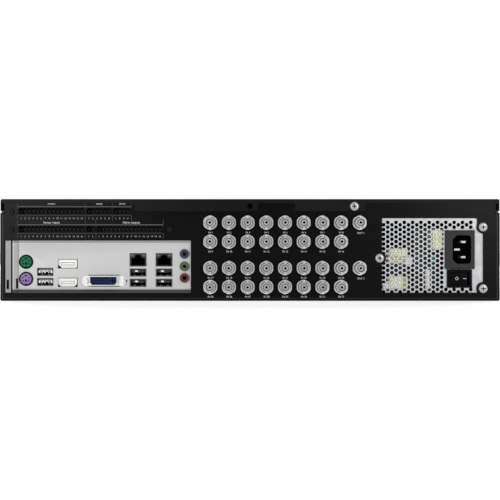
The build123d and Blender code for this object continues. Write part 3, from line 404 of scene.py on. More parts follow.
def link_object(name, data):
    """A new object in the scene."""
    piece = bpy.data.objects.new(name, data)
    scene.collection.objects.link(piece)
    return piece


def round_edges(piece, width):
    """Small rounded edges that catch the light."""
    bevel = piece.modifiers.new("edges", "BEVEL")
    bevel.width = width * MM
    bevel.segments = 2
    bevel.limit_method = "ANGLE"
    bevel.angle_limit = radians(EDGE_ANGLE)
    bevel.harden_normals = True


def make(name, mesh, materials, body="chassis", replaces=(), edges=0.0, at=(0, 0, 0), turn=0.0):
    """Puts a mesh or a form into the scene as one piece that rides a body; at is in millimetres."""
    if isinstance(mesh, Form):
        mesh = mesh.mesh(name)
    if not mesh.materials:
        for material in materials:
            mesh.materials.append(material)
    piece = link_object(name, mesh)
    piece.location = ORIGIN + Vector(at) * MM
    piece.rotation_euler.z = turn
    if edges:
        round_edges(piece, edges)
    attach(piece, body)
    if replaces:
        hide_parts(*replaces)


def carved(name, form, cutter):
    """The mesh of one form with another cut out of it."""
    parts = [link_object("carving", f.mesh("carving")) for f in (form, cutter)]
    cut = parts[0].modifiers.new("cut", "BOOLEAN")
    cut.object = parts[1]
    cut.solver = "EXACT"
    bpy.context.view_layer.update()
    solid = parts[0].evaluated_get(bpy.context.evaluated_depsgraph_get())
    data = bpy.data.meshes.new_from_object(solid)
    data.name = name
    for part in parts:
        bpy.data.objects.remove(part)
    smooth(data, CREASE_ANGLE)
    return data


def dress(name, *materials, edges=0.15, rule=None):
    """Gives a CAD node rounded edges and its finish, or a material for each face by a rule."""
    piece = nodes[name]
    mesh = piece.data
    mesh.materials.clear()
    for material in materials:
        mesh.materials.append(material)
    for polygon in mesh.polygons:
        polygon.material_index = rule(*((polygon.center - ORIGIN) / MM)) if rule else 0
    for attribute in ("custom_normal", "sharp_edge"):
        if attribute in mesh.attributes:
            mesh.attributes.remove(mesh.attributes[attribute])
    if not edges:
        smooth(mesh, EDGE_ANGLE)
        return
    mesh.shade_smooth()
    weld = piece.modifiers.new("weld", "WELD")
    weld.merge_threshold = 1e-6
    flat = piece.modifiers.new("flat", "DECIMATE")
    flat.decimate_type = "DISSOLVE"
    flat.angle_limit = radians(0.5)
    flat.delimit = {"MATERIAL"}
    round_edges(piece, edges)


def lettering(name, words, material, y=0.0, turn=0.0):
    """Printed words as one thin mesh on the plane y. Each word is (text, x, z, size)."""
    form = bmesh.new()
    for text, x, z, size in words:
        curve = bpy.data.curves.new("word", "FONT")
        curve.body = text
        curve.size = size * MM
        curve.align_x = curve.align_y = "CENTER"
        curve.resolution_u = 3
        curve.extrude = 0.02 * MM
        word = bpy.data.objects.new("word", curve)
        data = bpy.data.meshes.new_from_object(word)
        upright = Matrix.Rotation(turn, 4, "Z") @ Matrix.Rotation(pi / 2, 4, "X")
        data.transform(Matrix.Translation(Vector((x, 0, z)) * MM) @ upright)
        form.from_mesh(data)
        bpy.data.objects.remove(word)
    data = bpy.data.meshes.new(name)
    form.to_mesh(data)
    form.free()
    data.shade_flat()
    make(name, data, [material], at=(0, y, 0))


# -------- casing, from the CAD
dress("rear_panel", highlit_panel_powder)
dress("base_tray", powder, edges=0.25)
dress("top_cover", lid_powder, edges=0.25)

# X and Z round the right seal, and how far its ends stay within the walls' ends.
SEAL = ((212.8, 76.5), (214.2, 76.5), (214.8, 76.8), (214.95, 77.15), (214.8, 77.5), (214.2, 77.8),
        (212.8, 77.8))
SEAL_INSET = 0.3


def lid_seals():
    """Foam strips with rounded faces in the seams between the walls and the lid's skirts."""
    form = Form()
    low, high = box_mm("base_tray")
    for side in (-1, 1):
        outline = [(side * x, z) for x, z in SEAL]
        form.stack([(outline, low.y + SEAL_INSET), (outline, high.y - SEAL_INSET)])
    return form


make("lid_seals", lid_seals(), [black_plastic])
dress("front_panel", powder, edges=0.3)
dress("fan_bracket", zinc, edges=0.2)
dress("drive_cage", zinc, edges=0.2)

# -------- computer board's sockets
def shield_material():
    """Tinned sheet whose tone carries painted light and shade: painted shade on the pressed rim along its
    foot, on its head rim and near its left edge, and a painted highlight along the bend under its head.
    """
    material, tree, shader = new_material("tinned_shield_painted_shading")
    link = tree.links.new
    low, high = box_mm("io_shield")
    # painted shade at the foot and on the head rim, and a painted highlight band just under the head
    rise = [(0.0, 0.085), (0.02, 0.03), (0.036, 0.025), (0.05, 0.09), (0.066, 0.36), (0.08, 0.475),
            (0.925, 0.475), (0.936, 0.56), (0.952, 0.56), (0.962, 0.3), (1.0, 0.28)]
    # painted shade over a strip by the left edge, and a thin darker line of painted shadow just inside it
    across = [(0.0, 1.0), (0.005, 1.0), (0.008, 0.74), (0.027, 0.7), (0.03, 0.5), (0.032, 0.5), (0.035, 1.0)]
    shading_up = ramp(tree, along(tree, "Z", low.z, high.z), rise)
    shading_across = ramp(tree, along(tree, "X", low.x, high.x), across)
    link(combine(tree, "MULTIPLY", shading_up, shading_across), shader.inputs["Base Color"])
    fine = noise(tree, 160, (1, 1, 8))
    link(ramp(tree, fine, [(0.0, 0.38), (1.0, 0.5)]), shader.inputs["Roughness"])
    emboss(tree, shader, fine, 0.6, 0.006)
    shader.inputs["Metallic"].default_value = 0.3
    return material


STACK_X = [middle(f"network_stack_{side}").x for side in ("left", "right")]
SOCKET_FACE = box_mm("usb_port_pair")[0].y  # the housings' front, behind the shield
BOARD_TOP = box_mm("usb_port_pair")[0].z
PAIR_RISES = (5.5, 14.2)  # flat sockets' middles above the board
STACK_RISES = (4.75, 13.65)
PAIR_SPOTS = [(middle("usb_port_pair").x, BOARD_TOP + rise) for rise in PAIR_RISES]
STACK_SPOTS = [(x, BOARD_TOP + rise) for x in STACK_X for rise in STACK_RISES]
FLAT_SPOTS = (*PAIR_SPOTS, *STACK_SPOTS)
NETWORK_Z = BOARD_TOP + 24.7  # a network socket's middle
PORT_RISE = 7.2  # a round port's axis above its housing's foot
DISPLAY_MOUTHS = (("upper", 6.0, 2.6, 0.4), ("lower", 5.8, 1.9, 1.9))  # height and cut corners
POST_ASIDE = 15.9  # the monitor port's posts, from its middle
# Marks on the tongues of the flat pair: x, width, low z and high z.
PAIR_MARKS = ((-5.2, 1.5, -0.9, 1.3), (-3.0, 0.7, -1.1, 0.4), (-2.0, 0.8, 0.0, 1.5), (-0.6, 1.0, -1.1, 0.9),
              (1.3, 0.9, 0.1, 1.5), (2.7, 0.8, -1.0, 0.2), (5.2, 1.4, -1.0, 1.4))


def behind_face(y):
    return y > SOCKET_FACE + 0.05


def flat_socket_rule(middles, is_inside=behind_face):
    """0 for the housing, 1 inside a flat socket's mouth as painted shade, 2 on its tongue."""
    def rule(x, y, z):
        for center_x, center_z in middles:
            aside, rise = abs(x - center_x), z - center_z
            if is_inside(y) and aside < 5.65 and 0.25 < rise < 2.15:
                return 2
            if is_inside(y) and aside < 6.3 and abs(rise) < 2.65:
                return 1
        return 0
    return rule


def stack_rule(x, y, z):
    """The flat sockets' rule, with the network socket's cavity given painted shade too."""
    aside = min(abs(x - center_x) for center_x in STACK_X)
    if behind_face(y) and aside < 6.3 and abs(z - NETWORK_Z) < 5.6:
        return 1
    return flat_socket_rule(STACK_SPOTS)(x, y, z)


def port_axis(node):
    low, high = box_mm(node)
    return (low.x + high.x) / 2, low.z + PORT_RISE


def round_port_rule(node):
    """0 on the coloured face, 1 in its holes and groove as painted shade, 2 elsewhere."""
    (x0, z0), face = port_axis(node), box_mm(node)[0].y

    def rule(x, y, z):
        r = hypot(x - x0, z - z0)
        if r < 5.12:
            return 0 if y < face + 0.05 else 1
        return 1 if r < 5.82 else 2
    return rule


def port_rim(node):
    """A painted shadow: a thin near-black ring round a round port's face, standing for the shade round the
    recessed face.
    """
    form = Form()
    face = box_mm(node)[0].y
    rim = [(4.85, face), (5.9, face), (5.9, face - 0.05), (4.85, face - 0.05)]
    form.lathe(rim, *port_axis(node), sides=64, closed=True)
    return form


def jack_rule(node, ring):
    """0 on the collar's face, 1 in its groove and bore, the darker copy as painted shade; ring is the inner
    ring's own material.
    """
    center = middle(node)

    def rule(x, y, z):
        r = hypot(x - center.x, z - center.z)
        if y > box_mm(node)[0].y + 0.05:
            return 1 if r < 3.6 else 2
        return ring if r < 2.75 else 0
    return rule


def display_rule(x, y, z):
    """0 on the bright collar, 1 on the housing's face round it, darkened as painted shade."""
    return 1 if abs(y - SOCKET_FACE) < 0.02 else 0


def insert_rule(x, y, z):
    """0 outside and at the back, 1, painted shade, in the contact holes and the slot."""
    low, high = box_mm("monitor_port_insert")
    return 1 if low.y + 0.05 < y < high.y - 1 and abs(z - middle("monitor_port_insert").z) < 3.3 else 0


dress("io_shield", shield_material(), edges=0.18)
dress("shield_side_strip", strip_tin)
for port, port_plastic in (("mouse_port", green_plastic), ("keyboard_port", purple_plastic)):
    dress(port, port_plastic, recess_shade_black, black_plastic, rule=round_port_rule(port), edges=0.12)
    # a painted shadow ring round each round port's face
    make(f"{port}_rim", port_rim(port), [recess_shade_black])
dress("usb_port_pair", dark_metal, recess_shade_black, grey_plastic, rule=flat_socket_rule(PAIR_SPOTS), edges=0.1)
for side in ("left", "right"):
    dress(f"network_stack_{side}", dark_metal, recess_shade_black, black_plastic, rule=stack_rule, edges=0.1)
for level in ("upper", "lower"):
    dress(f"display_port_{level}", white_plastic, recess_shade_black, rule=display_rule)
dress("monitor_port_shell", bright_shell, edges=0.2)
dress("monitor_port_insert", navy_plastic, recess_shade_black, rule=insert_rule, edges=0.1)
for color, tones in JACK_LIT_AND_SHADED_TINTS.items():
    lit_and_shaded_tints = [plastic(f"jack_{color}_{i}", tone, 0.4, 0.008) for i, tone in enumerate(tones)]
    dress(f"audio_jack_{color}", *lit_and_shaded_tints, black_plastic,
          rule=jack_rule(f"audio_jack_{color}", 0 if color == "green" else 1))


def socket_lips():
    """The flared metal mouths of the flat sockets."""
    form = Form()
    sizes = ((13.7, 6.6, -0.02), (13.7, 6.6, -0.45), (13.3, 6.2, -0.6), (12.5, 5.2, -0.02))
    for x, z in FLAT_SPOTS:
        form.stack([(corners(span(x, w), span(z, h)), SOCKET_FACE + y) for w, h, y in sizes], closed=True)
    return form


def socket_springs():
    """Two spring fingers in each flat socket's floor, and its four contacts under the tongue."""
    fingers, contacts = Form(), Form()
    wedge = [(SOCKET_FACE + y, rise) for y, rise in ((0.5, 0.0), (3.0, 0.7), (5.5, 0.0))]
    for x, z in FLAT_SPOTS:
        for side in (-3.2, 3.2):
            fingers.loft([[(x + side + i, y, z - 2.58 + rise) for y, rise in wedge] for i in (-0.9, 0.9)])
        for aside in (-3.5, -1.0, 1.0, 3.5):
            contacts.brick(span(x + aside, 1.0), (SOCKET_FACE + 1.6, SOCKET_FACE + 9), (z + 0.18, z + 0.32))
    return fingers, contacts


def tongue_marks():
    """Pale patches on the ends of the flat sockets' tongues: a painted highlight on each network stack
    tongue, and the listed pale patches on the pair's.
    """
    form = Form()
    y = (SOCKET_FACE + 1.05, SOCKET_FACE + 1.25)
    # painted highlight on the left of each stack tongue's face
    for x, z in STACK_SPOTS:
        form.brick((x - 2.8, x - 0.3), y, (z + 0.6, z + 1.9))
    for x, z in PAIR_SPOTS:
        for mark, width, low, high in PAIR_MARKS:
            form.brick(span(x + mark, width), y, (z + low, z + high))
    return form


def display_backs():
    """The pale moulding round each display socket's tongue, just behind its mouth."""
    form = Form()
    half, tip, rise = 7.3, 5.75, 1.3  # half widths of mouth and tongue, half height of the tongue
    tongue = [(-tip, rise), (-tip, 0), (0.1 - tip, -rise), (tip - 0.1, -rise), (tip, 0), (tip, rise)]
    for level, height, left, right in DISPLAY_MOUTHS:
        node = f"display_port_{level}"
        x, top = middle(node).x, box_mm(node)[1].z - 1.55
        low = top - height + 0.1
        center = top + 0.05 - height / 2
        mouth = [(-half, top), (-half, low + left), (left - half, low), (half - right, low),
                 (half, low + right), (half, top)]
        form.surround([(x + i, j) for i, j in mouth], [(x + i, center + j) for i, j in tongue], 2.6, 4.0)
    return form


def post_threads():
    """The threads inside the monitor port's posts."""
    form = Form()
    shell = middle("monitor_port_shell")
    for side in (-POST_ASIDE, POST_ASIDE):
        form.lathe([(1.08, -2.7), (1.0, -2.5), (1.0, 5.0), (1.08, 5.0)], shell.x + side, shell.z, sides=20)
    return form


def network_bezels():
    """The black faces of the two network sockets, round their stepped mouths."""
    form = Form()
    steps = ((5.9, -4.8), (5.9, 1.6), (3.1, 1.6), (3.1, 3.2), (1.7, 3.2), (1.7, 4.4))
    around = ((7.2, -5.7), (7.2, 1.6), (7.2, 2.5), (7.2, 5.7), (4.5, 5.7), (1.7, 5.7))
    for x in STACK_X:
        inner, outer = (
            [(x + i, NETWORK_Z + j) for i, j in half] + [(x - i, NETWORK_Z + j) for i, j in reversed(half)]
            for half in (steps, around)
        )
        form.surround(outer, inner, SOCKET_FACE - 0.6, SOCKET_FACE - 0.02)
    return form


def network_windows():
    """The two light windows in each network socket's upper corners."""
    form = Form()
    for x in STACK_X:
        for side in (-5.2, 5.2):
            form.stack([(corners(span(x + side, w), span(NETWORK_Z + 4.0, w * 0.62)), SOCKET_FACE + y)
                        for w, y in ((2.8, -0.5), (2.8, -0.75), (2.4, -0.85))])
    return form


def network_contacts():
    """Eight sprung wires in the floor of each network socket."""
    form = Form()
    section = ((-0.2, 0), (0.2, 0), (0.2, 0.35), (-0.2, 0.35))
    wire = [(SOCKET_FACE + y, NETWORK_Z - 4.6 + rise) for y, rise in ((1.5, 0), (3.0, 0.25), (11, 2.6))]
    for x in STACK_X:
        for i in range(8):
            form.loft([[(x - 3.57 + 1.02 * i + dx, y, z + dz) for dx, dz in section] for y, z in wire])
    return form


window_lens = finish("network_window_lens", (0.09, 0.09, 0.085), 0.2, relief=0.002)
make("flat_socket_lips", socket_lips(), [dark_metal], edges=0.06)
fingers, contacts = socket_springs()
make("flat_socket_springs", fingers, [nickel], edges=0.08)
make("flat_socket_contacts", contacts, [gold], edges=0.04)
make("tongue_marks", tongue_marks(), [white_plastic], edges=0.05)
make("display_backs", display_backs(), [white_plastic], edges=0.05)
make("jack_screw_threads", post_threads(), [bright_shell])
make("network_bezels", network_bezels(), [black_plastic], edges=0.1)
make("network_windows", network_windows(), [window_lens])
make("network_contacts", network_contacts(), [contact_gold], edges=0.05)


# -------- video sockets
NUT_FLAT = 5.93  # middle to flat
NUT_CORNER = 6.18
NUT_THICK = 2.4
NUT_SIDES = 72
NECK = 5.05  # radius of the groove inside the nut, darkened as painted shade
BARREL = 4.35  # and of the barrel with its thread
BORE = 3.3
PIN_BORE = 1.12
PROUD = -box_mm("bnc_shells_upper")[0].y  # how far the video sockets stand out
LUG_PROUD = 9.4
JACK_SPOTS = spots("bnc_nuts")


def hexagon(shrink=0.0):
    """A nut's outline, flats to the left and right, its corners turned off."""
    outline = []
    for i in range(NUT_SIDES):
        turn = 2 * pi * i / NUT_SIDES
        within = (turn + pi / 6) % (pi / 3) - pi / 6
        r = min(NUT_CORNER, NUT_FLAT / cos(within)) - shrink
        outline.append((r * cos(turn), r * sin(turn)))
    return outline


def jack_shell():
    """A video jack's nut, threaded neck, barrel, bayonet lugs and centre contact.

    0 is its plate; 1 the contact's bore, 2 the groove inside the nut and 3 the barrel's rim take darker
    coats as painted shade."""
    form = Form()
    inside, neck = (circle(0, 0, r, NUT_SIDES) for r in (4.8, NECK))
    form.stack([(hexagon(), -0.05), (hexagon(), -NUT_THICK + 0.4), (hexagon(0.4), -NUT_THICK),
                (neck, -NUT_THICK), (inside, -NUT_THICK + 0.5), (inside, -0.05)], closed=True)
    thread = [(BARREL if i % 2 else 4.1, -2.2 - 0.4 * i) for i in range(12)]
    barrel = [(4.0, -6.8), (4.0, -7.2), (4.3, -7.45), (4.3, -PROUD + 0.3), (4.1, -PROUD),
              (3.45, -PROUD), (BORE, -PROUD + 0.3), (BORE, -6.0)]
    form.lathe([(4.75, 7.4), (4.75, -1.8), *thread, *barrel, (1.5, -6.0), (1.5, 7.4)], closed=True)
    for side in (-1, 1):
        lug = ((0.95, 4.1), (0.95, 5.1), (0.75, 5.3))  # radius and height
        form.loft([[(x, -y, side * h) for x, y in circle(0, LUG_PROUD, r, 16)] for r, h in lug])
    tip = -PROUD + 1.8
    form.lathe([(1.3, 11), (1.3, tip + 0.15), (1.2, tip), (1.15, tip), (PIN_BORE, tip + 0.1),
                (PIN_BORE, -5.2)], sides=24)
    mesh = form.mesh("video_jack", 40)
    for polygon in mesh.polygons:
        x, y, z = polygon.center / MM
        r = hypot(x, z)
        if r < PIN_BORE + 0.01 and y > tip + 0.05:
            polygon.material_index = 1
        elif 4.3 < r < NECK - 0.02 and y > -NUT_THICK + 0.01:
            polygon.material_index = 2
        elif BORE - 0.3 < r < BARREL and y < -PROUD + 0.2:
            polygon.material_index = 3
    return mesh


def jack_sleeve():
    """The dielectric: a shaded floor, 1, with a raised sleeve round the contact, 0."""
    form = Form()
    tip, floor = -PROUD + 2.2, -7.6
    form.lathe([(3.28, -5.5), (3.28, floor), (2.3, floor), (2.25, tip + 0.2), (2.1, tip), (1.5, tip),
                (1.38, tip + 0.3), (1.38, -5.5)], closed=True)
    mesh = form.mesh("video_jack_sleeve", 40)
    for polygon in mesh.polygons:
        polygon.material_index = 1 if abs(polygon.center.y / MM - floor) < 0.05 else 0
    return mesh


shell_mesh, sleeve_mesh = jack_shell(), jack_sleeve()
shell_coats = [jack_nickel, recess_shade_black, shaded_nickel, rim_shade_nickel]
replaced = ["bnc_shells_upper", "bnc_shells_lower", "bnc_nuts", "bnc_contacts"]
for i, (x, z) in enumerate(JACK_SPOTS, 1):
    make(f"video_jack_{i:02d}", shell_mesh, shell_coats, replaces=replaced, at=(x, 0, z))
    make(f"video_jack_sleeve_{i:02d}", sleeve_mesh, [sleeve_plastic, shaded_sleeve],
         replaces=["bnc_insulators"], at=(x, 0, z))


# -------- screws
CAD_HEAD = 2.2  # height of a screw's head in the CAD model
HEAD = 2.1  # and here, within it


def plus(arm, half):
    """A cross with arms this long, each half this wide to either side."""
    outline = []
    for c, s in ((1, 0), (0, 1), (-1, 0), (0, -1)):
        outline += [(c * x - s * y, s * x + c * y) for x, y in ((arm, -half), (arm, half), (half, half))]
    return outline


@cache
def screw_head(name, radius):
    """A pan head with a tapered cross recess, its seat at y = 0; the recess is 1, a darker coat as painted
    shade.
    """
    head, cross = Form(), Form()
    dome = [(radius * (1 - 0.3 * (1 - cos(a))), -HEAD * (0.35 + 0.6 * sin(a)))
            for a in (pi / 8, pi / 4, 3 * pi / 8, pi / 2)]
    head.lathe([(radius, 0.0), (radius, -0.35 * HEAD), *dome, (radius * 0.35, -HEAD)], sides=48)
    cross.stack([(plus(radius * 0.52 * k, radius * 0.065 * (1 + k)), y) for k, y in
                 ((1.0, -HEAD - 0.2), (0.95, -HEAD * 0.9), (0.45, -HEAD * 0.25))])
    data = carved(name, head, cross)
    for polygon in data.polygons:
        place = polygon.center / MM
        steep = abs(polygon.normal.y) < 0.75 or place.y > -0.5 * HEAD
        polygon.material_index = 1 if steep and hypot(place.x, place.z) < 0.55 * radius else 0
    return data


def place_screws(node, prefix, materials):
    """A head on each screw of a node, along Y or standing out of a side wall."""
    for i, (low, high) in enumerate(solids(node), 1):
        size, at, turn = high - low, (low + high) / 2, 0.0
        if abs(size.x - size.z) < 0.1:
            at.y = low.y + CAD_HEAD
        else:
            side = 1 if at.x > 0 else -1
            at.x = high.x - CAD_HEAD if side > 0 else low.x + CAD_HEAD
            turn = side * pi / 2
        head = screw_head(f"{prefix}_head", round(size.z / 2, 1))
        make(f"{prefix}_{i}", head, materials, replaces=[node], edges=0.08, at=at, turn=turn)


place_screws("rear_screws", "rear_screw", [bright_screw, screw_recess_shade])
place_screws("black_screws", "black_screw", [black_screw, black_screw])

# -------- terminal headers
dress("terminal_board", dark_board, edges=0)
for level in ("upper", "lower"):
    dress(f"{level}_terminal_headers", header_plastic, edges=0.12)
dress("terminal_pins", shade_dimmed_pin, edges=0.08)

# -------- power supply
PSU_LOW, PSU_HIGH = box_mm("psu_case")
LINED = 0.9  # faces further within the case than this are lined with film
# Parts on the board: x and y spans from the case's corner, and the material's index.
PSU_PARTS = ((12, 30, 9, 30, 1), (49.5, 60, 8, 21, 2), (45, 48.6, 7, 10, 3))


def psu_case_rule(x, y, z):
    """0 on the plate and outside, 1 on the insulating film that lines the case."""
    inside = all(a + LINED < v < b - LINED for a, v, b in zip(PSU_LOW.xz, (x, z), PSU_HIGH.xz))
    return 1 if inside and PSU_LOW.y + LINED < y < PSU_HIGH.y - 0.5 else 0


def psu_board_rule(x, y, z):
    """Boards are 0; windings 1; tape 2; white stake 3; teal 4; black cans 5; alloy plates 6."""
    u, v = x - PSU_LOW.x, z - PSU_LOW.z
    depth = y - (PSU_LOW.y - 1.3)
    if v < 5.75:
        return 0
    if 49.5 < u < 53.1 and 28.5 < v < 34.7 and depth < 21.1:
        return 4
    for x0, x1, y0, y1, paint in PSU_PARTS:
        if x0 - 0.1 < u < x1 + 0.1 and y0 - 0.1 < depth < y1 - 0.05:
            return paint
    if depth < 23:
        return 0
    return 6 if min(abs(u - 38), abs(u - 78)) < 1.6 else 5


def winding_material():
    """Two taped windings with the dark core between them."""
    material, tree, shader = new_material("choke_windings")
    bands = ramp(tree, along(tree, "Z", 9.6, 44), [(0.0, TAPE_YELLOW), (0.31, (0.01, 0.012, 0.01)),
                                                   (0.66, TAPE_YELLOW)])
    bands.node.color_ramp.interpolation = "CONSTANT"
    tree.links.new(bands, shader.inputs["Base Color"])
    turns = textured(tree, "ShaderNodeTexWave", Scale=420.0, Distortion=0.5, bands_direction="Z")
    emboss(tree, shader, turns.outputs["Fac"], 0.6, 0.3)
    shader.inputs["Roughness"].default_value = 0.4
    return material


def inlet_rule(x, y, z):
    """0 on the flange and housing, 1 in the socket, darkened as painted shade."""
    center = middle("inlet_body")
    inside = abs(x - center.x - 1.5) < 7.95 and abs(z - center.z) < 12.35
    return 1 if inside and y > box_mm("inlet_body")[0].y + 0.05 else 0


dress("psu_case", bright_plate, film, rule=psu_case_rule, edges=0.08)
dress("psu_board", dark_board, winding_material(), tape, white_plastic, teal_part, black_plastic, fin_alloy,
      rule=psu_board_rule, edges=0.3)


def padded(name, material, x, z, depth):
    """A wrapped or glued-on part close behind the supply's plate."""
    form = Form()
    face = PSU_LOW.y + 1.9
    layers = ((0.8, face), (0.0, face + 0.8), (0.0, PSU_LOW.y + depth))
    form.stack([(corners(x, z, inset), y) for inset, y in layers])
    make(name, form, [material], edges=0.3)


padded("filter_capacitor_wrap", tape, (158.2, 167.2), (44.6, 61.8), 8)
padded("choke_upper_wrap", tape, (121.6, 137.0), (38.4, 45.4), 9)
padded("choke_lower_wrap", tape, (121.6, 133.2), (9.8, 21.6), 9)
padded("choke_clamp", white_plastic, (134.2, 141.2), (31.0, 38.2), 8)
padded("board_glue_right", white_plastic, (152.2, 156.6), (9.8, 27.0), 6)
padded("board_glue_left", white_plastic, (115.0, 121.2), (9.8, 15.4), 8)
dress("inlet_body", charcoal, recess_shade_black, rule=inlet_rule, edges=0.2)
dress("inlet_pins", bright_screw, edges=0.25)
dress("switch_frame", switch_plastic, edges=0.25)
dress("switch_rocker", switch_plastic, edges=0.3)

ROCKER_TILT = radians(10)
ROCKER_PIVOT = (middle("switch_frame").x, 4.0)  # x and y
ROCKER_CREST = 3.2  # its face above the pivot, at the middle
ROCKER_SLOPE = 1.2 / 7.5  # and how it rises from there to both ends
INK = (-0.05, 0.04)  # from above its surface to below


def rocker_mark(name, form, aside):
    """Puts a mark on the rocker's face, this far right of its crest, while the switch is off."""
    slope = atan(ROCKER_SLOPE) * (-1 if aside > 0 else 1)
    rise = ROCKER_CREST + ROCKER_SLOPE * abs(aside)
    c, s = cos(-ROCKER_TILT), sin(-ROCKER_TILT)
    x, y = ROCKER_PIVOT[0] + c * aside + s * rise, ROCKER_PIVOT[1] + s * aside - c * rise
    make(name, form, [ink], body="power_rocker",
         at=(x, y, middle("switch_frame").z), turn=slope - ROCKER_TILT)


off_mark, on_mark = Form(), Form()
off_mark.lathe([(1.35, INK[0]), (0.95, INK[0]), (0.95, INK[1]), (1.35, INK[1])], closed=True)
on_mark.brick((-1.4, 1.4), INK, (-0.25, 0.25))
rocker_mark("rocker_off_mark", off_mark, -1.5)
rocker_mark("rocker_on_mark", on_mark, 5.3)


# -------- printing on the rear
# For each row of headers: its titles, how far right each stands, and how far above the row's middle.
TITLES = {
    "upper_terminal_headers": ((("Audio", 0.2), ("Relay", 0.2), ("Serial", 0.2)), 6.5),
    "lower_terminal_headers": ((("Sensor inputs", 0.2), ("", 0.0), ("Alarm outputs", 1.7)), 5.7),
}
TITLE_SIZE, LABEL_SIZE, NUMBER_SIZE = 2.6, 2.2, 2.1
INPUTS_PER_ROW = 8


def rear_words():
    """Titles over the headers with a label under each video socket, and the numbers under the poles."""
    words, numbers = [], []
    for node, (titles, rise) in TITLES.items():
        row = middle(node).z
        for (x, _), (title, aside) in zip(spots(node), titles):
            if title:
                words.append((title, x + aside, row + rise, TITLE_SIZE))
        for low, high in solids(node):
            own = [x for x, z in spots("terminal_pins") if abs(z - row) < 4 and low.x < x < high.x]
            numbers += [(str(i), x, row - 6.3, NUMBER_SIZE) for i, x in enumerate(own, 1)]
    inputs, outputs = 0, 0
    for row in sorted({round(z, 1) for _, z in JACK_SPOTS}, reverse=True):
        for i, x in enumerate(sorted(x for x, z in JACK_SPOTS if round(z, 1) == row)):
            if i < INPUTS_PER_ROW:
                inputs += 1
                words.append((f"IN {inputs}", x + 0.2, row - 8.6, LABEL_SIZE))
            else:
                outputs += 1
                words.append((f"OUT {outputs}", x + 1.1, row - 9.1, LABEL_SIZE))
    return words, numbers


def rear_rules():
    """Thin printed rules that box in each row of terminal headers."""
    form = Form()
    ink_y = (-0.04, 0.02)
    for node in TITLES:
        headers, row = solids(node), middle(node).z
        ends = [headers[0][0].x - 0.9]
        ends += [(a[1].x + b[0].x) / 2 for a, b in zip(headers, headers[1:])]
        ends.append(headers[-1][1].x + 0.7)
        for rise, width in ((3.8, 0.9), (-3.6, 0.3)):
            form.brick((ends[0], ends[-1]), ink_y, span(row + rise, width))
        for x in ends:
            form.brick(span(x, 0.3), ink_y, (row - 8.2, row - 3.9))
            form.brick(span(x, 0.3), ink_y, (row + 4.5, row + 8.2))
    return form


rear_labels, pole_numbers = rear_words()
lettering("rear_lettering", rear_labels, ink)
lettering("pole_numbers", pole_numbers, soft_ink)
make("rear_rules", rear_rules(), [faint_ink])

# -------- front
LIGHTS = spots("status_lights")
LOCK, BUTTON = middle("door_lock"), middle("power_button")


def optical_rule(x, y, z):
    """0 on the disc tray's face, 1 on the tray behind it."""
    return 0 if y > FRONT - 2 else 1


def lights_rule(x, y, z):
    return min(range(3), key=lambda i: abs(x - LIGHTS[i][0]))


dress("front_door", powder, edges=0.4)
dress("handles", satin_alloy, edges=0)
dress("door_lock", nickel, edges=0.2)
dress("power_button", satin_alloy, edges=0)
dress("reset_button", black_plastic, edges=0)
dress("status_lights", *lenses, rule=lights_rule, edges=0.35)
dress("front_usb_ports", nickel, recess_shade_black, white_plastic, edges=0.12,
      rule=flat_socket_rule(spots("front_usb_ports"), lambda y: y < FRONT + 0.55))
dress("optical_drive", zinc, edges=0.2)
dress("optical_tray", black_plastic, grey_plastic, rule=optical_rule, edges=0.2)
dress("eject_button", black_plastic, edges=0.3)


def door_filter():
    """The washable foam sheet inside the door, behind its slots."""
    low, high = box_mm("front_door")
    x, z = (low.x + 14.5, LOCK.x - 9), (low.z + 8, high.z - 8)
    layers = ((0.6, 7.4), (0.0, 8.0), (0.0, 10.1), (0.6, 10.7))  # inset, and y from the panel's face
    form = Form()
    form.stack([(corners(x, z, inset), FRONT + y) for inset, y in layers])
    return form


def power_symbol():
    """A broken ring with a bar: the usual power symbol."""
    form = Form()
    sides, gap = 28, radians(38)
    section = ((3.0, 0.0), (3.0, 0.05), (2.5, 0.05), (2.5, 0.0))
    turns = [pi / 2 + gap + (2 * pi - 2 * gap) * i / sides for i in range(sides + 1)]
    form.loft([[(r * cos(a), y, r * sin(a)) for r, y in section] for a in turns])
    form.brick((-0.25, 0.25), (0.0, 0.05), (1.3, 3.4))
    return form


make("door_filter", door_filter(), [filter_foam], body="door")
make("power_symbol", power_symbol(), [ink], body="power_key",
     at=(BUTTON.x, box_mm("power_button")[1].y, BUTTON.z))
front_words = [(text, x, z - 5.5, LABEL_SIZE) for text, (x, z) in zip(("REC", "DISK", "LAN"), LIGHTS)]
front_words += [("POWER", BUTTON.x, BUTTON.z - 11.5, TITLE_SIZE),
                ("RESET", middle("reset_button").x, BUTTON.z - 5.5, LABEL_SIZE)]
lettering("front_lettering", front_words, ink, FRONT, pi)

# -------- inside
DRIVE_FOOT = box_mm("hard_drives")[0].z
DRIVE_STEP = 31  # from one drive to the next above it


def components_rule(x, y, z):
    """Sockets, chips and plugs are black, 0; the row of capacitors by the rear is purple, 1."""
    return 1 if y < 39 and z < 30 and x < -120 else 0


def card_rule(x, y, z):
    """0 on the capture card's board, 1 on its chips and plugs, 2 on the finned block."""
    low = box_mm("capture_card")[0]
    if z < low.z + 1.65:
        return 0
    return 2 if 49.5 < x - low.x < 86.5 and y > low.y + 107 else 1


def drive_rule(x, y, z):
    """The pressed lid of each drive is satin, the casting dull."""
    return 1 if 23.05 < (z - DRIVE_FOOT) % DRIVE_STEP < 26.2 else 0


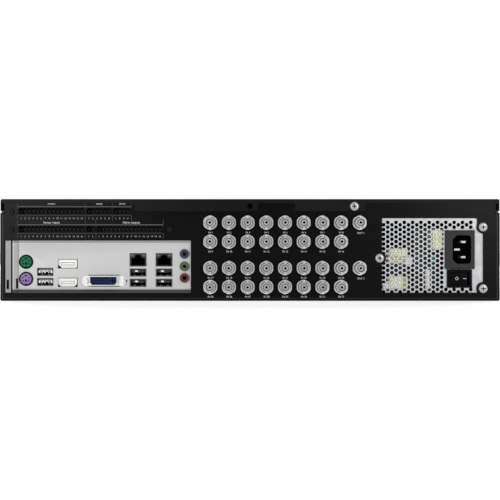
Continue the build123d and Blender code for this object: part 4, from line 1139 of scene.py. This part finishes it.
for node, material, edges in (
    ("motherboard", green_board, 0.1),
    ("board_standoffs", nickel, 0.2),
    ("memory_modules", green_board, 0.1),
    ("cpu_heatsink", fin_alloy, 0.1),
    ("bnc_board", dark_board, 0.1),
    ("ribbon_cables", ribbon, 0),
    ("fan_frames", black_plastic, 0.3),
    ("psu_fan_rotor", black_plastic, 0.25),
    ("case_fan_rotor_left", black_plastic, 0.25),
    ("case_fan_rotor_right", black_plastic, 0.25),
):
    dress(node, material, edges=edges)
dress("board_components", black_plastic, purple_plastic, rule=components_rule, edges=0.3)
dress("capture_card", green_board, black_plastic, fin_alloy, rule=card_rule)
dress("hard_drives", alloy, fin_alloy, rule=drive_rule, edges=0.5)

# -------- floor, light and camera
# Metres from here on.
REAR_Y = ORIGIN.y
AIM = (0, REAR_Y, box_mm("top_cover")[1].z * MM / 2)  # the middle of the rear
INNER_AIM = (0, 0.2, 0.05)
FLOOR = (-15, 15)  # from side to side
CAMERA_DISTANCE = 0.915
VIEW_WIDTH = 0.4324  # seen across the rear panel's face


def soft_light(name, place, target, size, watts):
    data = bpy.data.lights.new(name, "AREA")
    data.shape = "RECTANGLE"
    data.size, data.size_y = size
    data.energy = watts
    lamp = link_object(name, data)
    lamp.location = place
    lamp.rotation_euler = (Vector(target) - Vector(place)).to_track_quat("-Z", "Y").to_euler()


def studio_world(seen, around):
    """A white backdrop for the camera, and a dimmer grey room for everything else."""
    world = bpy.data.worlds.new("studio")
    scene.world = world
    world.use_nodes = True
    tree = world.node_tree
    room = tree.nodes["Background"]
    room.inputs["Color"].default_value = (1, 1, 1, 1)
    room.inputs["Strength"].default_value = around
    backdrop = add(tree, "ShaderNodeBackground", Color=(1, 1, 1, 1), Strength=seen)
    path = tree.nodes.new("ShaderNodeLightPath")
    mix = tree.nodes.new("ShaderNodeMixShader")
    sources = (path.outputs["Is Camera Ray"], room.outputs[0], backdrop.outputs[0])
    for source, socket in zip(sources, mix.inputs):
        tree.links.new(source, socket)
    tree.links.new(mix.outputs[0], tree.nodes["World Output"].inputs["Surface"])


def pale_floor():
    mesh = bpy.data.meshes.new("floor")
    mesh.from_pydata([(x, y, 0) for x, y in corners(FLOOR, FLOOR)], [], [(0, 1, 2, 3)])
    mesh.materials.append(finish("pale_floor", 0.9, 0.8, vary=0.005, clouds=0.3, grain=40, relief=0.02,
                                 Emission_Color=(1, 1, 1, 1), Emission_Strength=0.45))
    link_object("floor", mesh)


pale_floor()
studio_world(1.0, 0.22)
soft_light("left_box", (-0.57, REAR_Y - 1.25, 0.3), AIM, (0.35, 0.35), 5.2)
soft_light("right_box", (0.57, REAR_Y - 1.25, 0.3), AIM, (0.35, 0.35), 4.0)
soft_light("top_box", (0, REAR_Y - 0.35, 1.5), AIM, (2.2, 1.0), 6.5)
soft_light("front_left_box", (-1.1, 1.5, 0.9), INNER_AIM, (1.0, 1.2), 26)
soft_light("front_right_box", (1.2, 1.3, 0.7), INNER_AIM, (0.9, 1.2), 18)

camera_data = bpy.data.cameras.new("camera")
camera_data.lens = camera_data.sensor_width * CAMERA_DISTANCE / VIEW_WIDTH
camera = link_object("camera", camera_data)
camera.location = (0, REAR_Y - CAMERA_DISTANCE, AIM[2])
camera.rotation_euler = (pi / 2, 0, 0)
scene.camera = camera
scene.view_settings.view_transform = "Standard"
